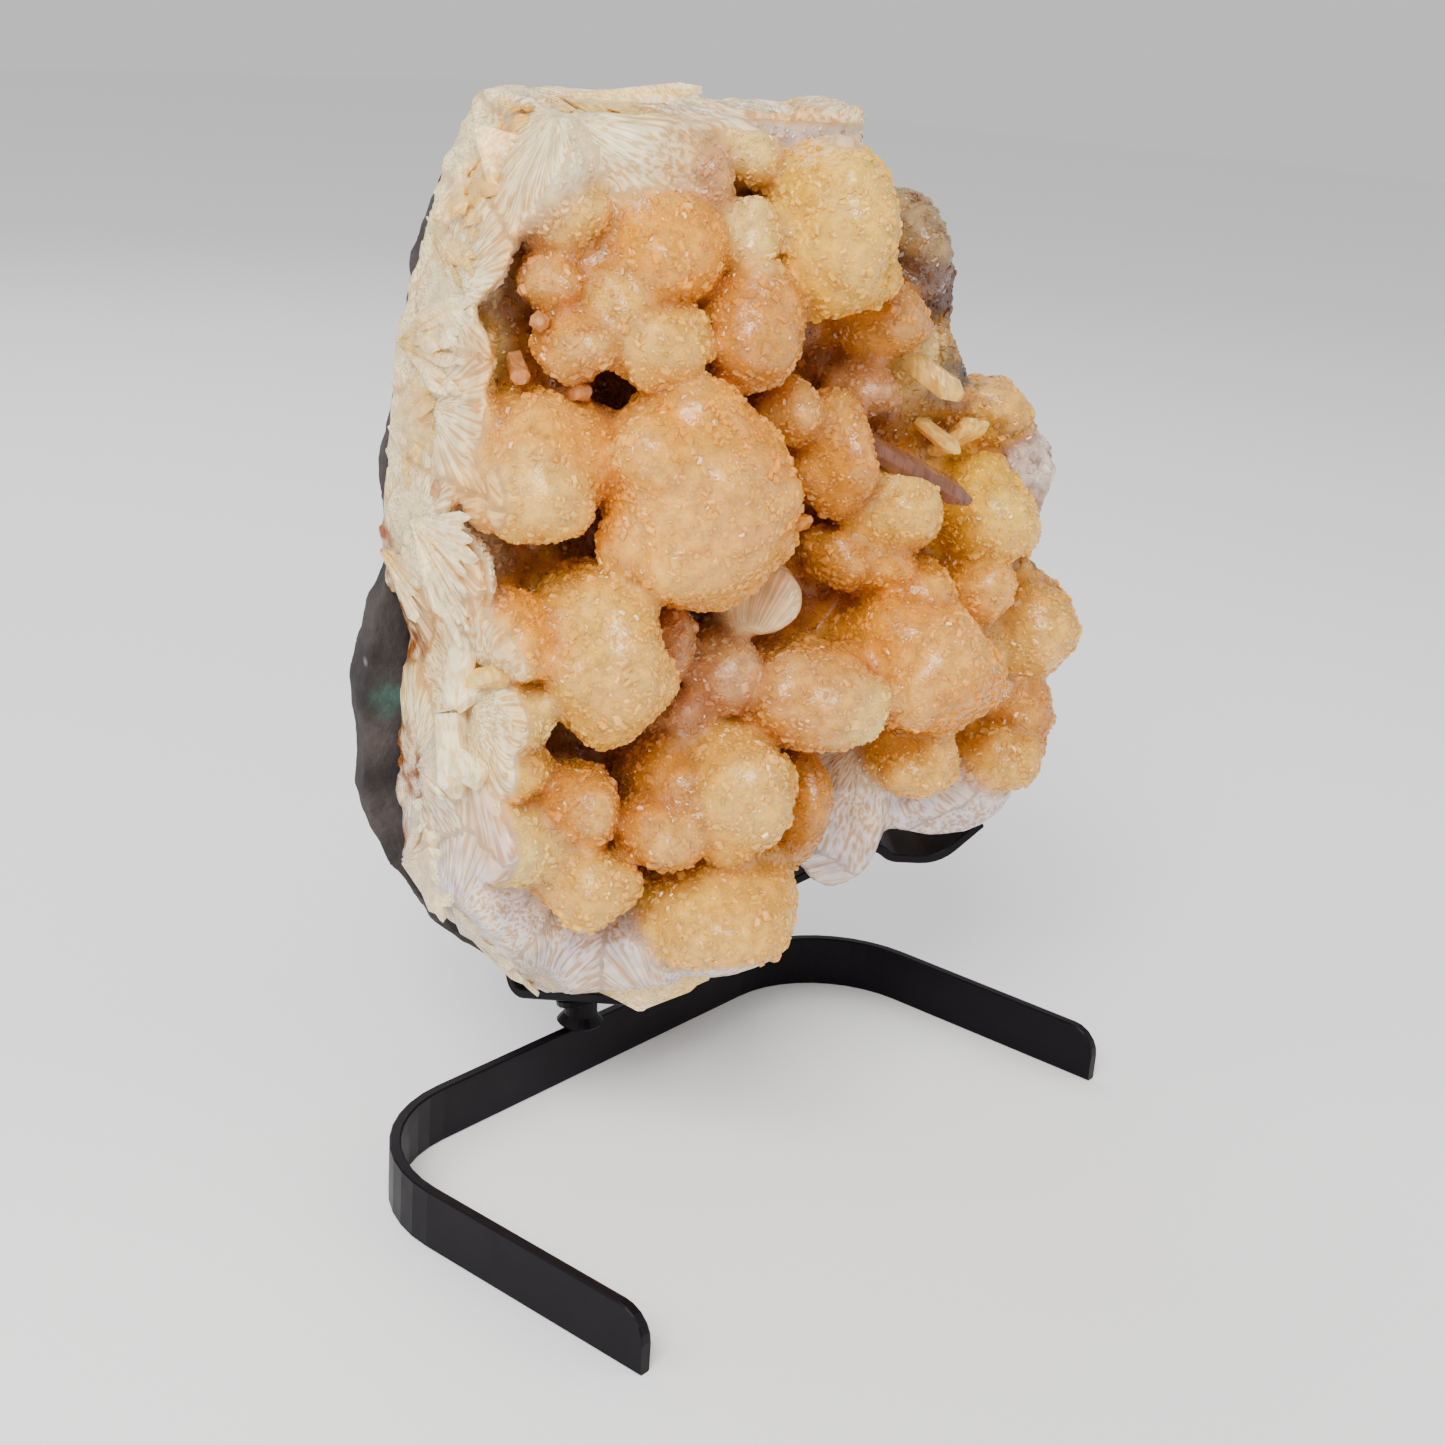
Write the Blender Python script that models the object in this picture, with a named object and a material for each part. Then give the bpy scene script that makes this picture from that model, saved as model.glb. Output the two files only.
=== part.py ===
"""Stilbite cluster resting on its black iron stand.

Metres, +Z up. The stand's U-shaped foot lies on Z = 0 with its legs towards -Y.
The stone has a frame of its own: across (its right, seen from the front), up and
out (towards someone who faces the crystals).
"""

import math
import random

import bmesh
import bpy
from mathutils import Matrix, Vector

MM = 0.001
GAP = 0.3 * MM

# Foot of the stand: one flat bar on edge, bent to a U.
BAR_WIDTH = 20 * MM
BAR_THICKNESS = 3.8 * MM
FOOT_WIDTH = 250 * MM
LEG_LENGTH = 135 * MM
FOOT_BEND_RADIUS = 45 * MM
LEG_END_RADIUS = 10 * MM
EDGE_CHAMFER = 0.5 * MM

# Short post welded on the foot's back run, with a round plate on top.
POST_X = -12 * MM
POST_RADIUS = 6 * MM
POST_FOOT_RADIUS = 8.5 * MM
POST_TOP = 30.2 * MM
PLATE_RADIUS = 9.2 * MM
PLATE_THICKNESS = 2.8 * MM

# Bent flat bars that hold the stone. The seat slopes down towards its back rest.
HOLDER_THICKNESS = 3.6 * MM
SEAT_SLOPE = math.radians(18)
SEAT_FRONT = -40 * MM
SEAT_BACK = 25 * MM
SEAT_BEND_RADIUS = 5 * MM
BACK_REST_LEAN = math.radians(20)
BACK_REST_KNEE = 43 * MM
BACK_REST_TOP = 100 * MM

# The right hook's arm leaves the seat's right edge. Its corners are given as
# distances along the arm and up from HOOK_POINT, a corner of the hook's near edge.
ARM_TURN = math.radians(-39)
ARM_TILT = math.radians(10)
HOOK_POINT = Vector((86.5, -81.8, 81)) * MM
HOOK_CORNERS = [(-25 * MM, 7.6 * MM), (-18 * MM, 1.2 * MM), (0, 0), (14 * MM, 15.5 * MM)]
HOOK_BEND_RADII = (8 * MM, 8 * MM, 14 * MM)

# Where the stone stands.
STONE_CENTRE = Vector((-8, -42, 208)) * MM
STONE_TURN = math.radians(-25)
STONE_LEAN = math.radians(4)
STONE_FRAME = (
    Matrix.Translation(STONE_CENTRE)
    @ Matrix.Rotation(STONE_TURN, 4, "Z")
    @ Matrix.Rotation(math.radians(90) - STONE_LEAN, 4, "X")
)

# Lumps of radiating crystals, in the stone's frame, in millimetres:
# name, (across, up, out) of the middle, half sizes the same way, turn in degrees.
LUMPS = [
    ("great ball", (-20, 20, 30), (27, 35, 34), 8),
    ("left ball", (-66, 27, 12), (19, 23, 28), 0),
    ("left ball front", (-69, 22, 28), (13, 14, 18), 0),
    ("yellow ball", (25, 99, 18), (18, 28, 34), -8),
    ("yellow burr", (-2, 97, 20), (10, 9, 16), 0),
    ("brown fan", (71, 92, -16), (13, 20, 28), 0),
    ("ball under yellow", (55, 71, -2), (15, 14, 26), 0),
    ("prism knob", (71, 58, -6), (9, 7, 16), 30),
    ("column", (-1, 69, 16), (18, 19, 30), 0),
    ("column foot", (18, 43, 12), (9, 10, 18), 0),
    ("middle ball", (-34, 65, 28), (14, 12, 22), -20),
    ("upper ball", (-29, 92, 12), (19, 18, 30), 0),
    ("upper left ball", (-57, 103, 10), (12, 10, 22), 0),
    ("amber body", (-48, 88, 0), (16, 15, 26), 0),
    ("pink ball", (-14, 112, 6), (9, 13, 22), 0),
    ("pale fan", (4, 119, 0), (9, 10, 22), 0),
    ("burr", (-62, 82, 14), (8, 8, 16), 0),
    ("fan ball", (-45, 76, 18), (12, 10, 20), 30),
    ("ball under fan", (-57, 65, 20), (11, 9, 20), -10),
    ("edge knob", (-84, 44, 2), (9, 9, 20), 0),
    ("pink knob", (-45, 39, 8), (5, 5, 12), 0),
    ("right column", (35, 29, 10), (12, 19, 28), 5),
    ("pink block", (50, 49, 0), (10, 10, 22), 0),
    ("middle right ball", (56, 13, 12), (16, 15, 26), 0),
    ("golden right ball", (100, 6, -2), (15, 18, 28), 10),
    ("golden low ball", (100, -20, -4), (13, 12, 24), 0),
    ("smooth knob", (111, 39, -16), (9, 10, 18), 0),
    ("grey knob", (127, 20, -26), (11, 13, 22), 0),
    ("cluster left", (41, -6, 6), (9, 9, 20), 0),
    ("cluster middle", (56, -8, 6), (12, 9, 20), 0),
    ("cluster right", (69, -17, 8), (12, 10, 22), 0),
    ("white edge ball", (129, -38, -14), (15, 19, 28), 0),
    ("big right ball", (68, -40, 14), (26, 23, 38), -10),
    ("wide low ball", (26, -47, 20), (23, 17, 32), 0),
    ("white knob", (33, -49, 38), (10, 10, 16), 0),
    ("low right edge", (124, -70, -14), (14, 13, 26), 0),
    ("low right front", (112, -82, -4), (16, 12, 28), 8),
    ("low right middle", (72, -76, 10), (15, 11, 24), -6),
    ("right foot", (98, -96, -1), (25, 13, 13), 8),
    ("lower left ball", (-47, -29, 20), (18, 29, 36), 5),
    ("lower left side", (-73, -23, 12), (13, 13, 26), 0),
    ("flat block", (-76, -48, 18), (15, 10, 20), 6),
    ("under block", (-73, -64, 8), (14, 11, 24), 0),
    ("pink fan", (-2, -39, 12), (11, 14, 22), 0),
    ("white fan", (8, -14, 16), (13, 12, 24), 35),
    ("deep pink", (-14, -56, 6), (11, 11, 18), 0),
    ("behind lower left", (-21, -28, 10), (8, 14, 20), 0),
    ("low ball", (-3, -75, 24), (18, 20, 34), 0),
    ("low ball side", (-22, -72, 14), (11, 12, 24), 0),
    ("tan side", (27, -86, 6), (10, 24, 28), -6),
    ("low middle", (-28, -86, 26), (13, 11, 24), 0),
    ("low step", (-52, -78, 16), (12, 13, 24), 0),
    ("low long", (-75, -88, 6), (25, 15, 30), -20),
    ("low small", (-51, -102, 20), (14, 12, 26), 10),
    ("foot ball", (-6, -117, 18), (28, 19, 40), 14),
    ("foot white", (-32, -133, -2), (24, 22, 36), 0),
    ("pale slab", (58, -98, -8), (16, 29, 19), -8),
    ("top left block", (-66, 116, -8), (20, 22, 40), 0),
    ("top fan", (-36, 120, -6), (26, 20, 34), 0),
    ("top small blocks", (-10, 128, -20), (16, 14, 28), 0),
    ("top right slab", (32, 130, -30), (30, 15, 22), 0),
    ("rim fan top", (-84, 99, -20), (16, 27, 52), 0),
    ("rim fan upper", (-90, 60, -20), (16, 18, 50), 0),
    ("rim fan middle", (-94, 26, -26), (16, 22, 42), 0),
    ("rim fan bright", (-90, -6, -16), (15, 17, 46), -30),
    ("rim low", (-90, -52, -22), (14, 36, 36), 0),
    ("rim foot", (-72, -118, -20), (34, 22, 38), -38),
    ("bottom left edge", (-46, -146, -26), (26, 22, 22), -20),
]

# Flat-faced crystals: name, (across, up, out) of the root, the way they point,
# then length, width and thickness in millimetres.
BLADES = [
    ("brown blade", (40, 34, 26), (0.86, -0.42, 0.02), 44, 9, 7),
    ("star up", (-86, -47, 2), (0.05, 1.0, 0.3), 24, 10, 6),
    ("star upper right", (-86, -47, 3), (0.72, 0.66, 0.35), 25, 10, 6),
    ("star low", (-86, -50, 0), (0.02, -1.0, 0.22), 27, 15, 9),
    ("pink prism", (-92, 20, 0), (0.7, -0.2, 0.7), 22, 7, 6),
    ("right prism", (66, 60, 0), (0.5, -0.5, 0.7), 26, 9, 8),
    ("sparkly blade 1", (84, 26, -4), (0.3, 0.5, 0.8), 24, 8, 4),
    ("sparkly blade 2", (92, 30, -6), (-0.2, 0.4, 0.9), 22, 7, 4),
    ("sparkly blade 3", (78, 36, -4), (0.1, -0.3, 0.9), 22, 7, 4),
    ("lower block 1", (-84, -66, 0), (-0.1, 0.1, 1.0), 22, 13, 9),
    ("lower block 2", (-82, -40, 4), (0.2, 0.3, 0.9), 22, 10, 6),
    ("hollow crystal 1", (-56, 48, 8), (0.1, 0.2, 1.0), 20, 6, 5),
    ("hollow crystal 2", (-62, 70, 10), (-0.4, 0.1, 0.9), 20, 6, 5),
    ("hollow crystal 3", (-70, 60, 8), (-0.2, -0.3, 0.9), 18, 6, 4),
    ("top blade 1", (-40, 118, 4), (0.35, -0.35, 0.9), 32, 15, 6),
    ("top blade 2", (-30, 124, 0), (0.5, -0.1, 0.85), 32, 12, 5),
    ("pit crystal 1", (16, 2, 6), (0.3, 0.4, 0.9), 22, 7, 5),
    ("pit crystal 2", (14, -66, 8), (0.1, 0.5, 0.9), 18, 6, 5),
]

# Outline of the crust behind the lumps, (across, up) in millimetres, clockwise
# from the top left corner.
CRUST_OUTLINE = [
    (-70, 135), (-45, 140), (-10, 146), (18, 147), (30, 141), (54, 138), (54, 118), (76, 104),
    (92, 84), (88, 66), (98, 50), (120, 42), (134, 20), (126, -8), (140, -34),
    (138, -62), (128, -86), (120, -97), (94, -106), (70, -108), (44, -116),
    (20, -128), (-4, -142), (-24, -166), (-49, -162), (-74, -137), (-93, -112),
    (-92, -70), (-88, -36), (-98, -12), (-99, 22), (-95, 60), (-87, 92), (-82, 112),
]
CRUST_BACK = -44
CRUST_FRONT = 0

# Outline of the dark rock behind the crust, the same way.
ROCK_OUTLINE = [
    (-62, 124), (-20, 128), (30, 130), (56, 124), (60, 104), (78, 90), (80, 64),
    (100, 40), (118, 16), (114, -10), (128, -36), (126, -64), (116, -90),
    (104, -97), (76, -103), (44, -107), (14, -122), (-10, -140), (-28, -164),
    (-49, -162), (-76, -137), (-95, -114), (-103, -84), (-103, -50), (-98, -28),
    (-93, -8), (-94, 24), (-90, 60), (-82, 92), (-76, 112),
]
ROCK_LAYERS = [(-44, 1.0), (-54, 0.99), (-65, 0.93), (-73, 0.74), (-77, 0.4)]

# Flat breaks where the crust was split from its wall: the outline's left and top
# edges, cut straight through and leaning a little inwards towards the front.
BREAK_LINES = {
    "left": [(-64, 170), (-70, 134), (-82, 112), (-87, 92), (-95, 60), (-99, 22),
             (-98, -12), (-89, -36), (-92, -70), (-93, -112), (-74, -137),
             (-49, -162), (-32, -194)],
}
BREAK_SLANT = 0.13
TOP_BREAK = [(-45, 141), (60, 125)]
BOTTOM_BREAK = [(-45, -166), (60, -128)]


def clear_scene():
    for old in list(bpy.data.objects):
        bpy.data.objects.remove(old, do_unlink=True)


def material(name, colour, roughness, metallic=0.0):
    made = bpy.data.materials.new(name)
    made.use_nodes = True
    shader = made.node_tree.nodes["Principled BSDF"]
    shader.inputs["Base Color"].default_value = (*colour, 1.0)
    shader.inputs["Roughness"].default_value = roughness
    shader.inputs["Metallic"].default_value = metallic
    made.diffuse_color = (*colour, 1.0)
    return made


def add_object(name, build_mesh, finish=None, frame=None):
    """Makes a mesh object from a bmesh, with its normals turned outwards."""
    bmesh.ops.recalc_face_normals(build_mesh, faces=build_mesh.faces)
    mesh = bpy.data.meshes.new(name)
    build_mesh.to_mesh(mesh)
    build_mesh.free()
    made = bpy.data.objects.new(name, mesh)
    bpy.context.scene.collection.objects.link(made)
    if finish:
        mesh.materials.append(finish)
    if frame:
        made.matrix_world = frame
    return made


def shade_round(obj, angle=35):
    for face in obj.data.polygons:
        face.use_smooth = True
    obj.data.set_sharp_from_angle(angle=math.radians(angle))


def rounded_corners(points, radii, steps=5):
    """A 2D polyline with an arc in place of each inner corner."""
    result = [Vector(points[0])]
    for before, corner, after, radius in zip(points, points[1:], points[2:], radii):
        corner = Vector(corner)
        back = (Vector(before) - corner).normalized()
        on = (Vector(after) - corner).normalized()
        half = back.angle(on) / 2
        reach = radius / math.tan(half)
        centre = corner + (back + on).normalized() * (radius / math.sin(half))
        start = corner + back * reach - centre
        turn = start.angle_signed(corner + on * reach - centre)
        for step in range(steps + 1):
            angle = -turn * step / steps
            result.append(centre + Matrix.Rotation(angle, 2) @ start)
    result.append(Vector(points[-1]))
    return result


def sides_of(path, thickness):
    """The two outlines that run half a thickness to each side of a 2D path."""
    left, right = [], []
    for i, point in enumerate(path):
        before = path[max(i - 1, 0)]
        after = path[min(i + 1, len(path) - 1)]
        along = (after - before).normalized()
        side = Vector((-along.y, along.x)) * thickness / 2
        left.append(point + side)
        right.append(point - side)
    return left, right


def bent_bar(name, corners, radii, origin, first, second, width, finish):
    """A flat bar bent in the plane of two directions, its width square to them."""
    first = Vector(first).normalized()
    second = Vector(second).normalized()
    across = first.cross(second).normalized()
    path = rounded_corners(corners, radii)
    left, right = sides_of(path, HOLDER_THICKNESS)
    built = bmesh.new()
    rows = []
    for offset in (0, width):
        for side in (left, right):
            rows.append(
                [built.verts.new(origin + first * p.x + second * p.y + across * offset) for p in side]
            )
    near_left, near_right, far_left, far_right = rows
    around = [near_left, near_right, far_right, far_left]
    for a, b in zip(around, around[1:] + around[:1]):
        for i in range(len(path) - 1):
            built.faces.new((a[i], b[i], b[i + 1], a[i + 1]))
    for i in (0, -1):
        built.faces.new((near_left[i], near_right[i], far_right[i], far_left[i]))
    bar = add_object(name, built, finish)
    bevel = bar.modifiers.new("soft edges", "BEVEL")
    bevel.width = EDGE_CHAMFER
    bevel.segments = 1
    bevel.limit_method = "ANGLE"
    bevel.angle_limit = math.radians(50)
    shade_round(bar)
    return bar


def foot_path():
    """The U's centre line in plan, from the left leg's end to the right one's."""
    half = FOOT_WIDTH / 2
    corners = [(-half, -LEG_LENGTH), (-half, 0), (half, 0), (half, -LEG_LENGTH)]
    path = rounded_corners(corners, (FOOT_BEND_RADIUS, FOOT_BEND_RADIUS), steps=10)
    steps = [LEG_END_RADIUS * math.sin(math.radians(a)) for a in (15, 35, 55, 72, 90)]
    lead = [Vector((-half, -LEG_LENGTH + LEG_END_RADIUS - s)) for s in reversed(steps)]
    lead.append(Vector((-half, -LEG_LENGTH + LEG_END_RADIUS)))
    tail = [Vector((-p.x, p.y)) for p in reversed(lead)]
    return lead + path[1:-1] + tail


def foot_top(point):
    """The bar's height at a point of its centre line: the legs' ends are rounded off."""
    past = -LEG_LENGTH + LEG_END_RADIUS - point.y
    if past <= 0:
        return BAR_WIDTH
    past = min(past, LEG_END_RADIUS)
    return BAR_WIDTH - LEG_END_RADIUS + math.sqrt(LEG_END_RADIUS**2 - past**2)


def foot(finish):
    path = foot_path()
    outer, inner = sides_of(path, BAR_THICKNESS)
    slim_outer, slim_inner = sides_of(path, BAR_THICKNESS - 2 * EDGE_CHAMFER)
    built = bmesh.new()
    rings = []
    for i, point in enumerate(path):
        top = foot_top(point)
        section = [
            (slim_outer[i], 0), (slim_inner[i], 0),
            (inner[i], EDGE_CHAMFER), (inner[i], top - EDGE_CHAMFER),
            (slim_inner[i], top), (slim_outer[i], top),
            (outer[i], top - EDGE_CHAMFER), (outer[i], EDGE_CHAMFER),
        ]
        rings.append([built.verts.new((at.x, at.y, height)) for at, height in section])
    for a, b in zip(rings, rings[1:]):
        for i in range(8):
            built.faces.new((a[i], a[(i + 1) % 8], b[(i + 1) % 8], b[i]))
    built.faces.new(rings[0])
    built.faces.new(rings[-1])
    bar = add_object("stand_foot_bar", built, finish)
    shade_round(bar)
    return bar


def turned(name, profile, frame, finish, segments=20):
    """A solid turned about its own upright axis from (radius, height) points."""
    built = bmesh.new()
    rings = []
    for radius, height in profile:
        ring = []
        for i in range(segments):
            angle = math.tau * i / segments
            at = Vector((radius * math.cos(angle), radius * math.sin(angle), height))
            ring.append(built.verts.new(frame @ at))
        rings.append(ring)
    for a, b in zip(rings, rings[1:]):
        for i in range(segments):
            built.faces.new((a[i], a[(i + 1) % segments], b[(i + 1) % segments], b[i]))
    built.faces.new(rings[0])
    built.faces.new(rings[-1])
    made = add_object(name, built, finish)
    shade_round(made)
    return made


def plate_frame():
    """The round plate's middle, tipped to lie flat under the seat."""
    return Matrix.Translation((POST_X, 0, POST_TOP)) @ Matrix.Rotation(-SEAT_SLOPE, 4, "X")


def post(finish):
    low = BAR_WIDTH + GAP
    flare = [
        (POST_FOOT_RADIUS - 1 * MM, low), (POST_FOOT_RADIUS, low + 1.2 * MM),
        (POST_RADIUS + 1 * MM, low + 3 * MM), (POST_RADIUS, low + 4.2 * MM),
        (POST_RADIUS, POST_TOP + 5 * MM),
    ]
    made = turned("stand_post", flare, Matrix.Translation((POST_X, 0, 0)), finish)
    above = bmesh.new()
    bmesh.ops.create_cube(above, size=20 * MM)
    for vert in above.verts:
        vert.co.z += 10 * MM - PLATE_THICKNESS / 2 - GAP
    cutter = add_object("post_top_cut", above, frame=plate_frame())
    hide_helper(cutter)
    boolean(made, "DIFFERENCE", tool=cutter)
    return made


def round_plate(finish):
    half = PLATE_THICKNESS / 2
    soft = 0.5 * MM
    rim = [
        (PLATE_RADIUS - soft, -half), (PLATE_RADIUS, soft - half),
        (PLATE_RADIUS, half - soft), (PLATE_RADIUS - soft, half),
    ]
    return turned("stand_round_plate", rim, plate_frame(), finish)


def seat_middle(y):
    """Height of the middle of the seat's thickness, at a distance along Y."""
    above_plate = PLATE_THICKNESS / 2 + GAP + HOLDER_THICKNESS / 2
    return POST_TOP + above_plate / math.cos(SEAT_SLOPE) - y * math.tan(SEAT_SLOPE)


def left_seat(finish):
    """The seat under the stone, bent up at the back as a rest."""
    corner = Vector((SEAT_BACK, seat_middle(SEAT_BACK)))
    knee = corner + Vector((math.sin(BACK_REST_LEAN), math.cos(BACK_REST_LEAN))) * BACK_REST_KNEE
    side = [(SEAT_FRONT, seat_middle(SEAT_FRONT)), corner, knee, (knee.x + 1 * MM, BACK_REST_TOP)]
    start = Vector((POST_X - BAR_WIDTH / 2, 0, 0))
    radii = (SEAT_BEND_RADIUS, 4 * SEAT_BEND_RADIUS)
    bent_bar("stand_left_seat", side, radii, start, (0, 1, 0), (0, 0, 1), BAR_WIDTH, finish)


def right_hook(finish):
    """The arm from the seat's right edge to the hook under the stone's right side."""
    turn = Matrix.Rotation(ARM_TURN, 3, "Z")
    along = turn @ Vector((1, 0, 0))
    tipped = turn @ Vector((0, math.cos(ARM_TILT), math.sin(ARM_TILT)))
    up = along.cross(tipped)
    edge = Vector((POST_X + BAR_WIDTH / 2 + GAP, -10 * MM, seat_middle(-10 * MM)))
    root = edge - tipped * BAR_WIDTH / 2 - HOOK_POINT
    start = Vector((root.dot(along), root.dot(up)))
    path = [start + (start - Vector(HOOK_CORNERS[0])).normalized() * 12 * MM] + HOOK_CORNERS
    lift = Vector((0, HOLDER_THICKNESS / 2))
    path = [Vector(p) + lift for p in path]
    far_edge = HOOK_POINT + tipped * BAR_WIDTH
    arm = bent_bar("stand_right_hook", path, HOOK_BEND_RADII, far_edge, along, up, BAR_WIDTH, finish)
    beside = bmesh.new()
    bmesh.ops.create_cube(beside, size=100 * MM)
    for vert in beside.verts:
        vert.co += Vector((edge.x - 50 * MM, 0, edge.z))
    cutter = add_object("arm_root_cut", beside)
    hide_helper(cutter)
    boolean(arm, "DIFFERENCE", tool=cutter)


def lump(built, middle, half, turn, rng, level):
    """A rounded crystal lump: a ball of flat facets, each corner moved a little."""
    place = (
        Matrix.Translation(Vector(middle) * MM)
        @ Matrix.Rotation(math.radians(turn), 4, "Z")
        @ Matrix.Diagonal((*(Vector(half) * MM), 1))
    )
    ball = bmesh.ops.create_icosphere(built, subdivisions=level, radius=1.0)
    spin = Matrix.Rotation(rng.uniform(0, 6), 3, (rng.random(), rng.random(), 1))
    for vert in ball["verts"]:
        vert.co = place @ (spin @ vert.co * rng.uniform(0.94, 1.05))


def facet_level(label, half):
    """How finely a lump is faceted: by its size, and plain where a break cuts it off."""
    size = max(half[:2])
    if label.startswith(("rim", "top", "pale")):
        return 2
    return 3 if size >= 28 else 2 if size >= 12 else 1


def blade(built, root, way, length, width, thickness, rng):
    """A flat six-sided crystal with a wedge-shaped tip."""
    way = Vector(way).normalized()
    side = way.cross(Vector((0.2, 1, 0.1))).normalized()
    side = Matrix.Rotation(rng.uniform(-0.4, 0.4), 3, way) @ side
    thick = way.cross(side)
    w = width / 2
    t = thickness / 2
    section = [(-w, 0), (-w * 0.7, -t), (w * 0.7, -t), (w, 0), (w * 0.7, t), (-w * 0.7, t)]
    rings = []
    for along, narrow in ((0, 0.85), (length * 0.82, 1.0), (length, 0.42)):
        centre = Vector(root) + way * along
        ring = [centre + (side * a + thick * b) * narrow for a, b in section]
        rings.append([built.verts.new(at * MM) for at in ring])
    count = len(section)
    for a, b in zip(rings, rings[1:]):
        for i in range(count):
            built.faces.new((a[i], a[(i + 1) % count], b[(i + 1) % count], b[i]))
    built.faces.new(rings[0])
    built.faces.new(rings[-1])


def slab(name, outline, layers, finish=None):
    """A closed slab: an outline repeated at each depth, larger or smaller."""
    built = bmesh.new()
    middle = Vector((sum(p[0] for p in outline), sum(p[1] for p in outline))) / len(outline)
    rings = []
    for out, scale in layers:
        ring = []
        for point in outline:
            at = middle + (Vector(point) - middle) * scale
            ring.append(built.verts.new(Vector((at.x, at.y, out)) * MM))
        rings.append(ring)
    for a, b in zip(rings, rings[1:]):
        for i in range(len(outline)):
            j = (i + 1) % len(outline)
            built.faces.new((a[i], a[j], b[j], b[i]))
    built.faces.new(rings[0])
    built.faces.new(rings[-1])
    return add_object(name, built, finish)


def hide_helper(obj):
    obj.hide_render = True
    obj.display_type = "WIRE"
    obj.hide_set(True)


def stone_helper(obj):
    """A hidden tool of the stone's joins and cuts, put in the stone's frame."""
    obj.matrix_world = STONE_FRAME
    hide_helper(obj)
    return obj


def boolean(target, operation, tool=None, group=None):
    step = target.modifiers.new(operation.lower(), "BOOLEAN")
    step.operation = operation
    step.solver = "EXACT"
    if group:
        step.operand_type = "COLLECTION"
        step.collection = group
    else:
        step.object = tool
    return step


def break_cutter():
    """Everything left of the crust's broken left side."""
    line = BREAK_LINES["left"]
    built = bmesh.new()
    rings = []
    for out in (-90, 110):
        shift = BREAK_SLANT * (out + 44)
        ring = [Vector((x + shift, y, out)) for x, y in line]
        ring += [Vector((-200, -190, out)), Vector((-200, 170, out))]
        rings.append([built.verts.new(p * MM) for p in ring])
    low, high = rings
    built.faces.new(low)
    built.faces.new(high)
    for i in range(len(low)):
        j = (i + 1) % len(low)
        built.faces.new((low[i], low[j], high[j], high[i]))
    return stone_helper(add_object("break_left", built))


def end_cutter(name, line, beyond):
    """Everything above the top break or below the bottom one."""
    built = bmesh.new()
    (out_a, up_a), (out_b, up_b) = line
    slope = (up_b - up_a) / (out_b - out_a)
    corners = [
        (-110, up_a + slope * (-110 - out_a)), (140, up_a + slope * (140 - out_a)),
        (140, up_a + beyond), (-110, up_a + beyond),
    ]
    rings = []
    for across in (-220, 240):
        rings.append([built.verts.new(Vector((across, up, out)) * MM) for out, up in corners])
    low, high = rings
    built.faces.new(low)
    built.faces.new(high)
    for i in range(4):
        j = (i + 1) % 4
        built.faces.new((low[i], low[j], high[j], high[i]))
    return stone_helper(add_object(name, built))


def keep_outer_shell(obj):
    """Applies the joins and cuts, and drops the sealed hollows left between lumps."""
    bpy.context.view_layer.update()
    seen = obj.evaluated_get(bpy.context.evaluated_depsgraph_get())
    mesh = bpy.data.meshes.new_from_object(seen)
    obj.modifiers.clear()
    obj.data = mesh
    shells = bmesh.new()
    shells.from_mesh(mesh)
    todo = set(shells.verts)
    groups = []
    while todo:
        reached = [todo.pop()]
        group = set(reached)
        while reached:
            for edge in reached.pop().link_edges:
                for vert in edge.verts:
                    if vert not in group:
                        group.add(vert)
                        reached.append(vert)
        todo -= group
        groups.append(group)
    groups.sort(key=len)
    for group in groups[:-1]:
        bmesh.ops.delete(shells, geom=list(group), context="VERTS")
    bmesh.ops.triangulate(shells, faces=shells.faces)
    shells.to_mesh(mesh)
    shells.free()


def crystals(finish):
    """The whole crust: lumps and blades joined to the layer that they grow on."""
    rng = random.Random(7)
    group = bpy.data.collections.new("lumps")
    bpy.context.scene.collection.children.link(group)
    for index, (label, middle, half, turn) in enumerate(LUMPS):
        built = bmesh.new()
        lump(built, middle, half, turn, rng, facet_level(label, half))
        made = add_object(f"lump_{index:02d}", built)
        bpy.context.scene.collection.objects.unlink(made)
        group.objects.link(made)
        stone_helper(made)
    for index, (label, root, way, length, width, thickness) in enumerate(BLADES):
        built = bmesh.new()
        blade(built, root, way, length, width, thickness, rng)
        made = add_object(f"blade_{index:02d}", built)
        bpy.context.scene.collection.objects.unlink(made)
        group.objects.link(made)
        stone_helper(made)
    crust = slab(
        "stilbite_crystals", CRUST_OUTLINE,
        [(CRUST_BACK - 10, 0.99), (-24, 1.0), (-8, 0.97), (CRUST_FRONT, 0.9)], finish,
    )
    boolean(crust, "UNION", group=group)
    boolean(crust, "DIFFERENCE", tool=break_cutter())
    boolean(crust, "DIFFERENCE", tool=end_cutter("break_top", TOP_BREAK, 80))
    boolean(crust, "DIFFERENCE", tool=end_cutter("break_bottom", BOTTOM_BREAK, -80))
    back = bmesh.new()
    bmesh.ops.create_cube(back, size=1)
    for vert in back.verts:
        vert.co = Vector((vert.co.x * 500, vert.co.y * 500, vert.co.z * 100 - 50))
        vert.co = (vert.co + Vector((0, 0, CRUST_BACK + 0.3))) * MM
    boolean(crust, "DIFFERENCE", tool=stone_helper(add_object("flat_back", back)))
    crust.matrix_world = STONE_FRAME
    keep_outer_shell(crust)
    return crust


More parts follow.
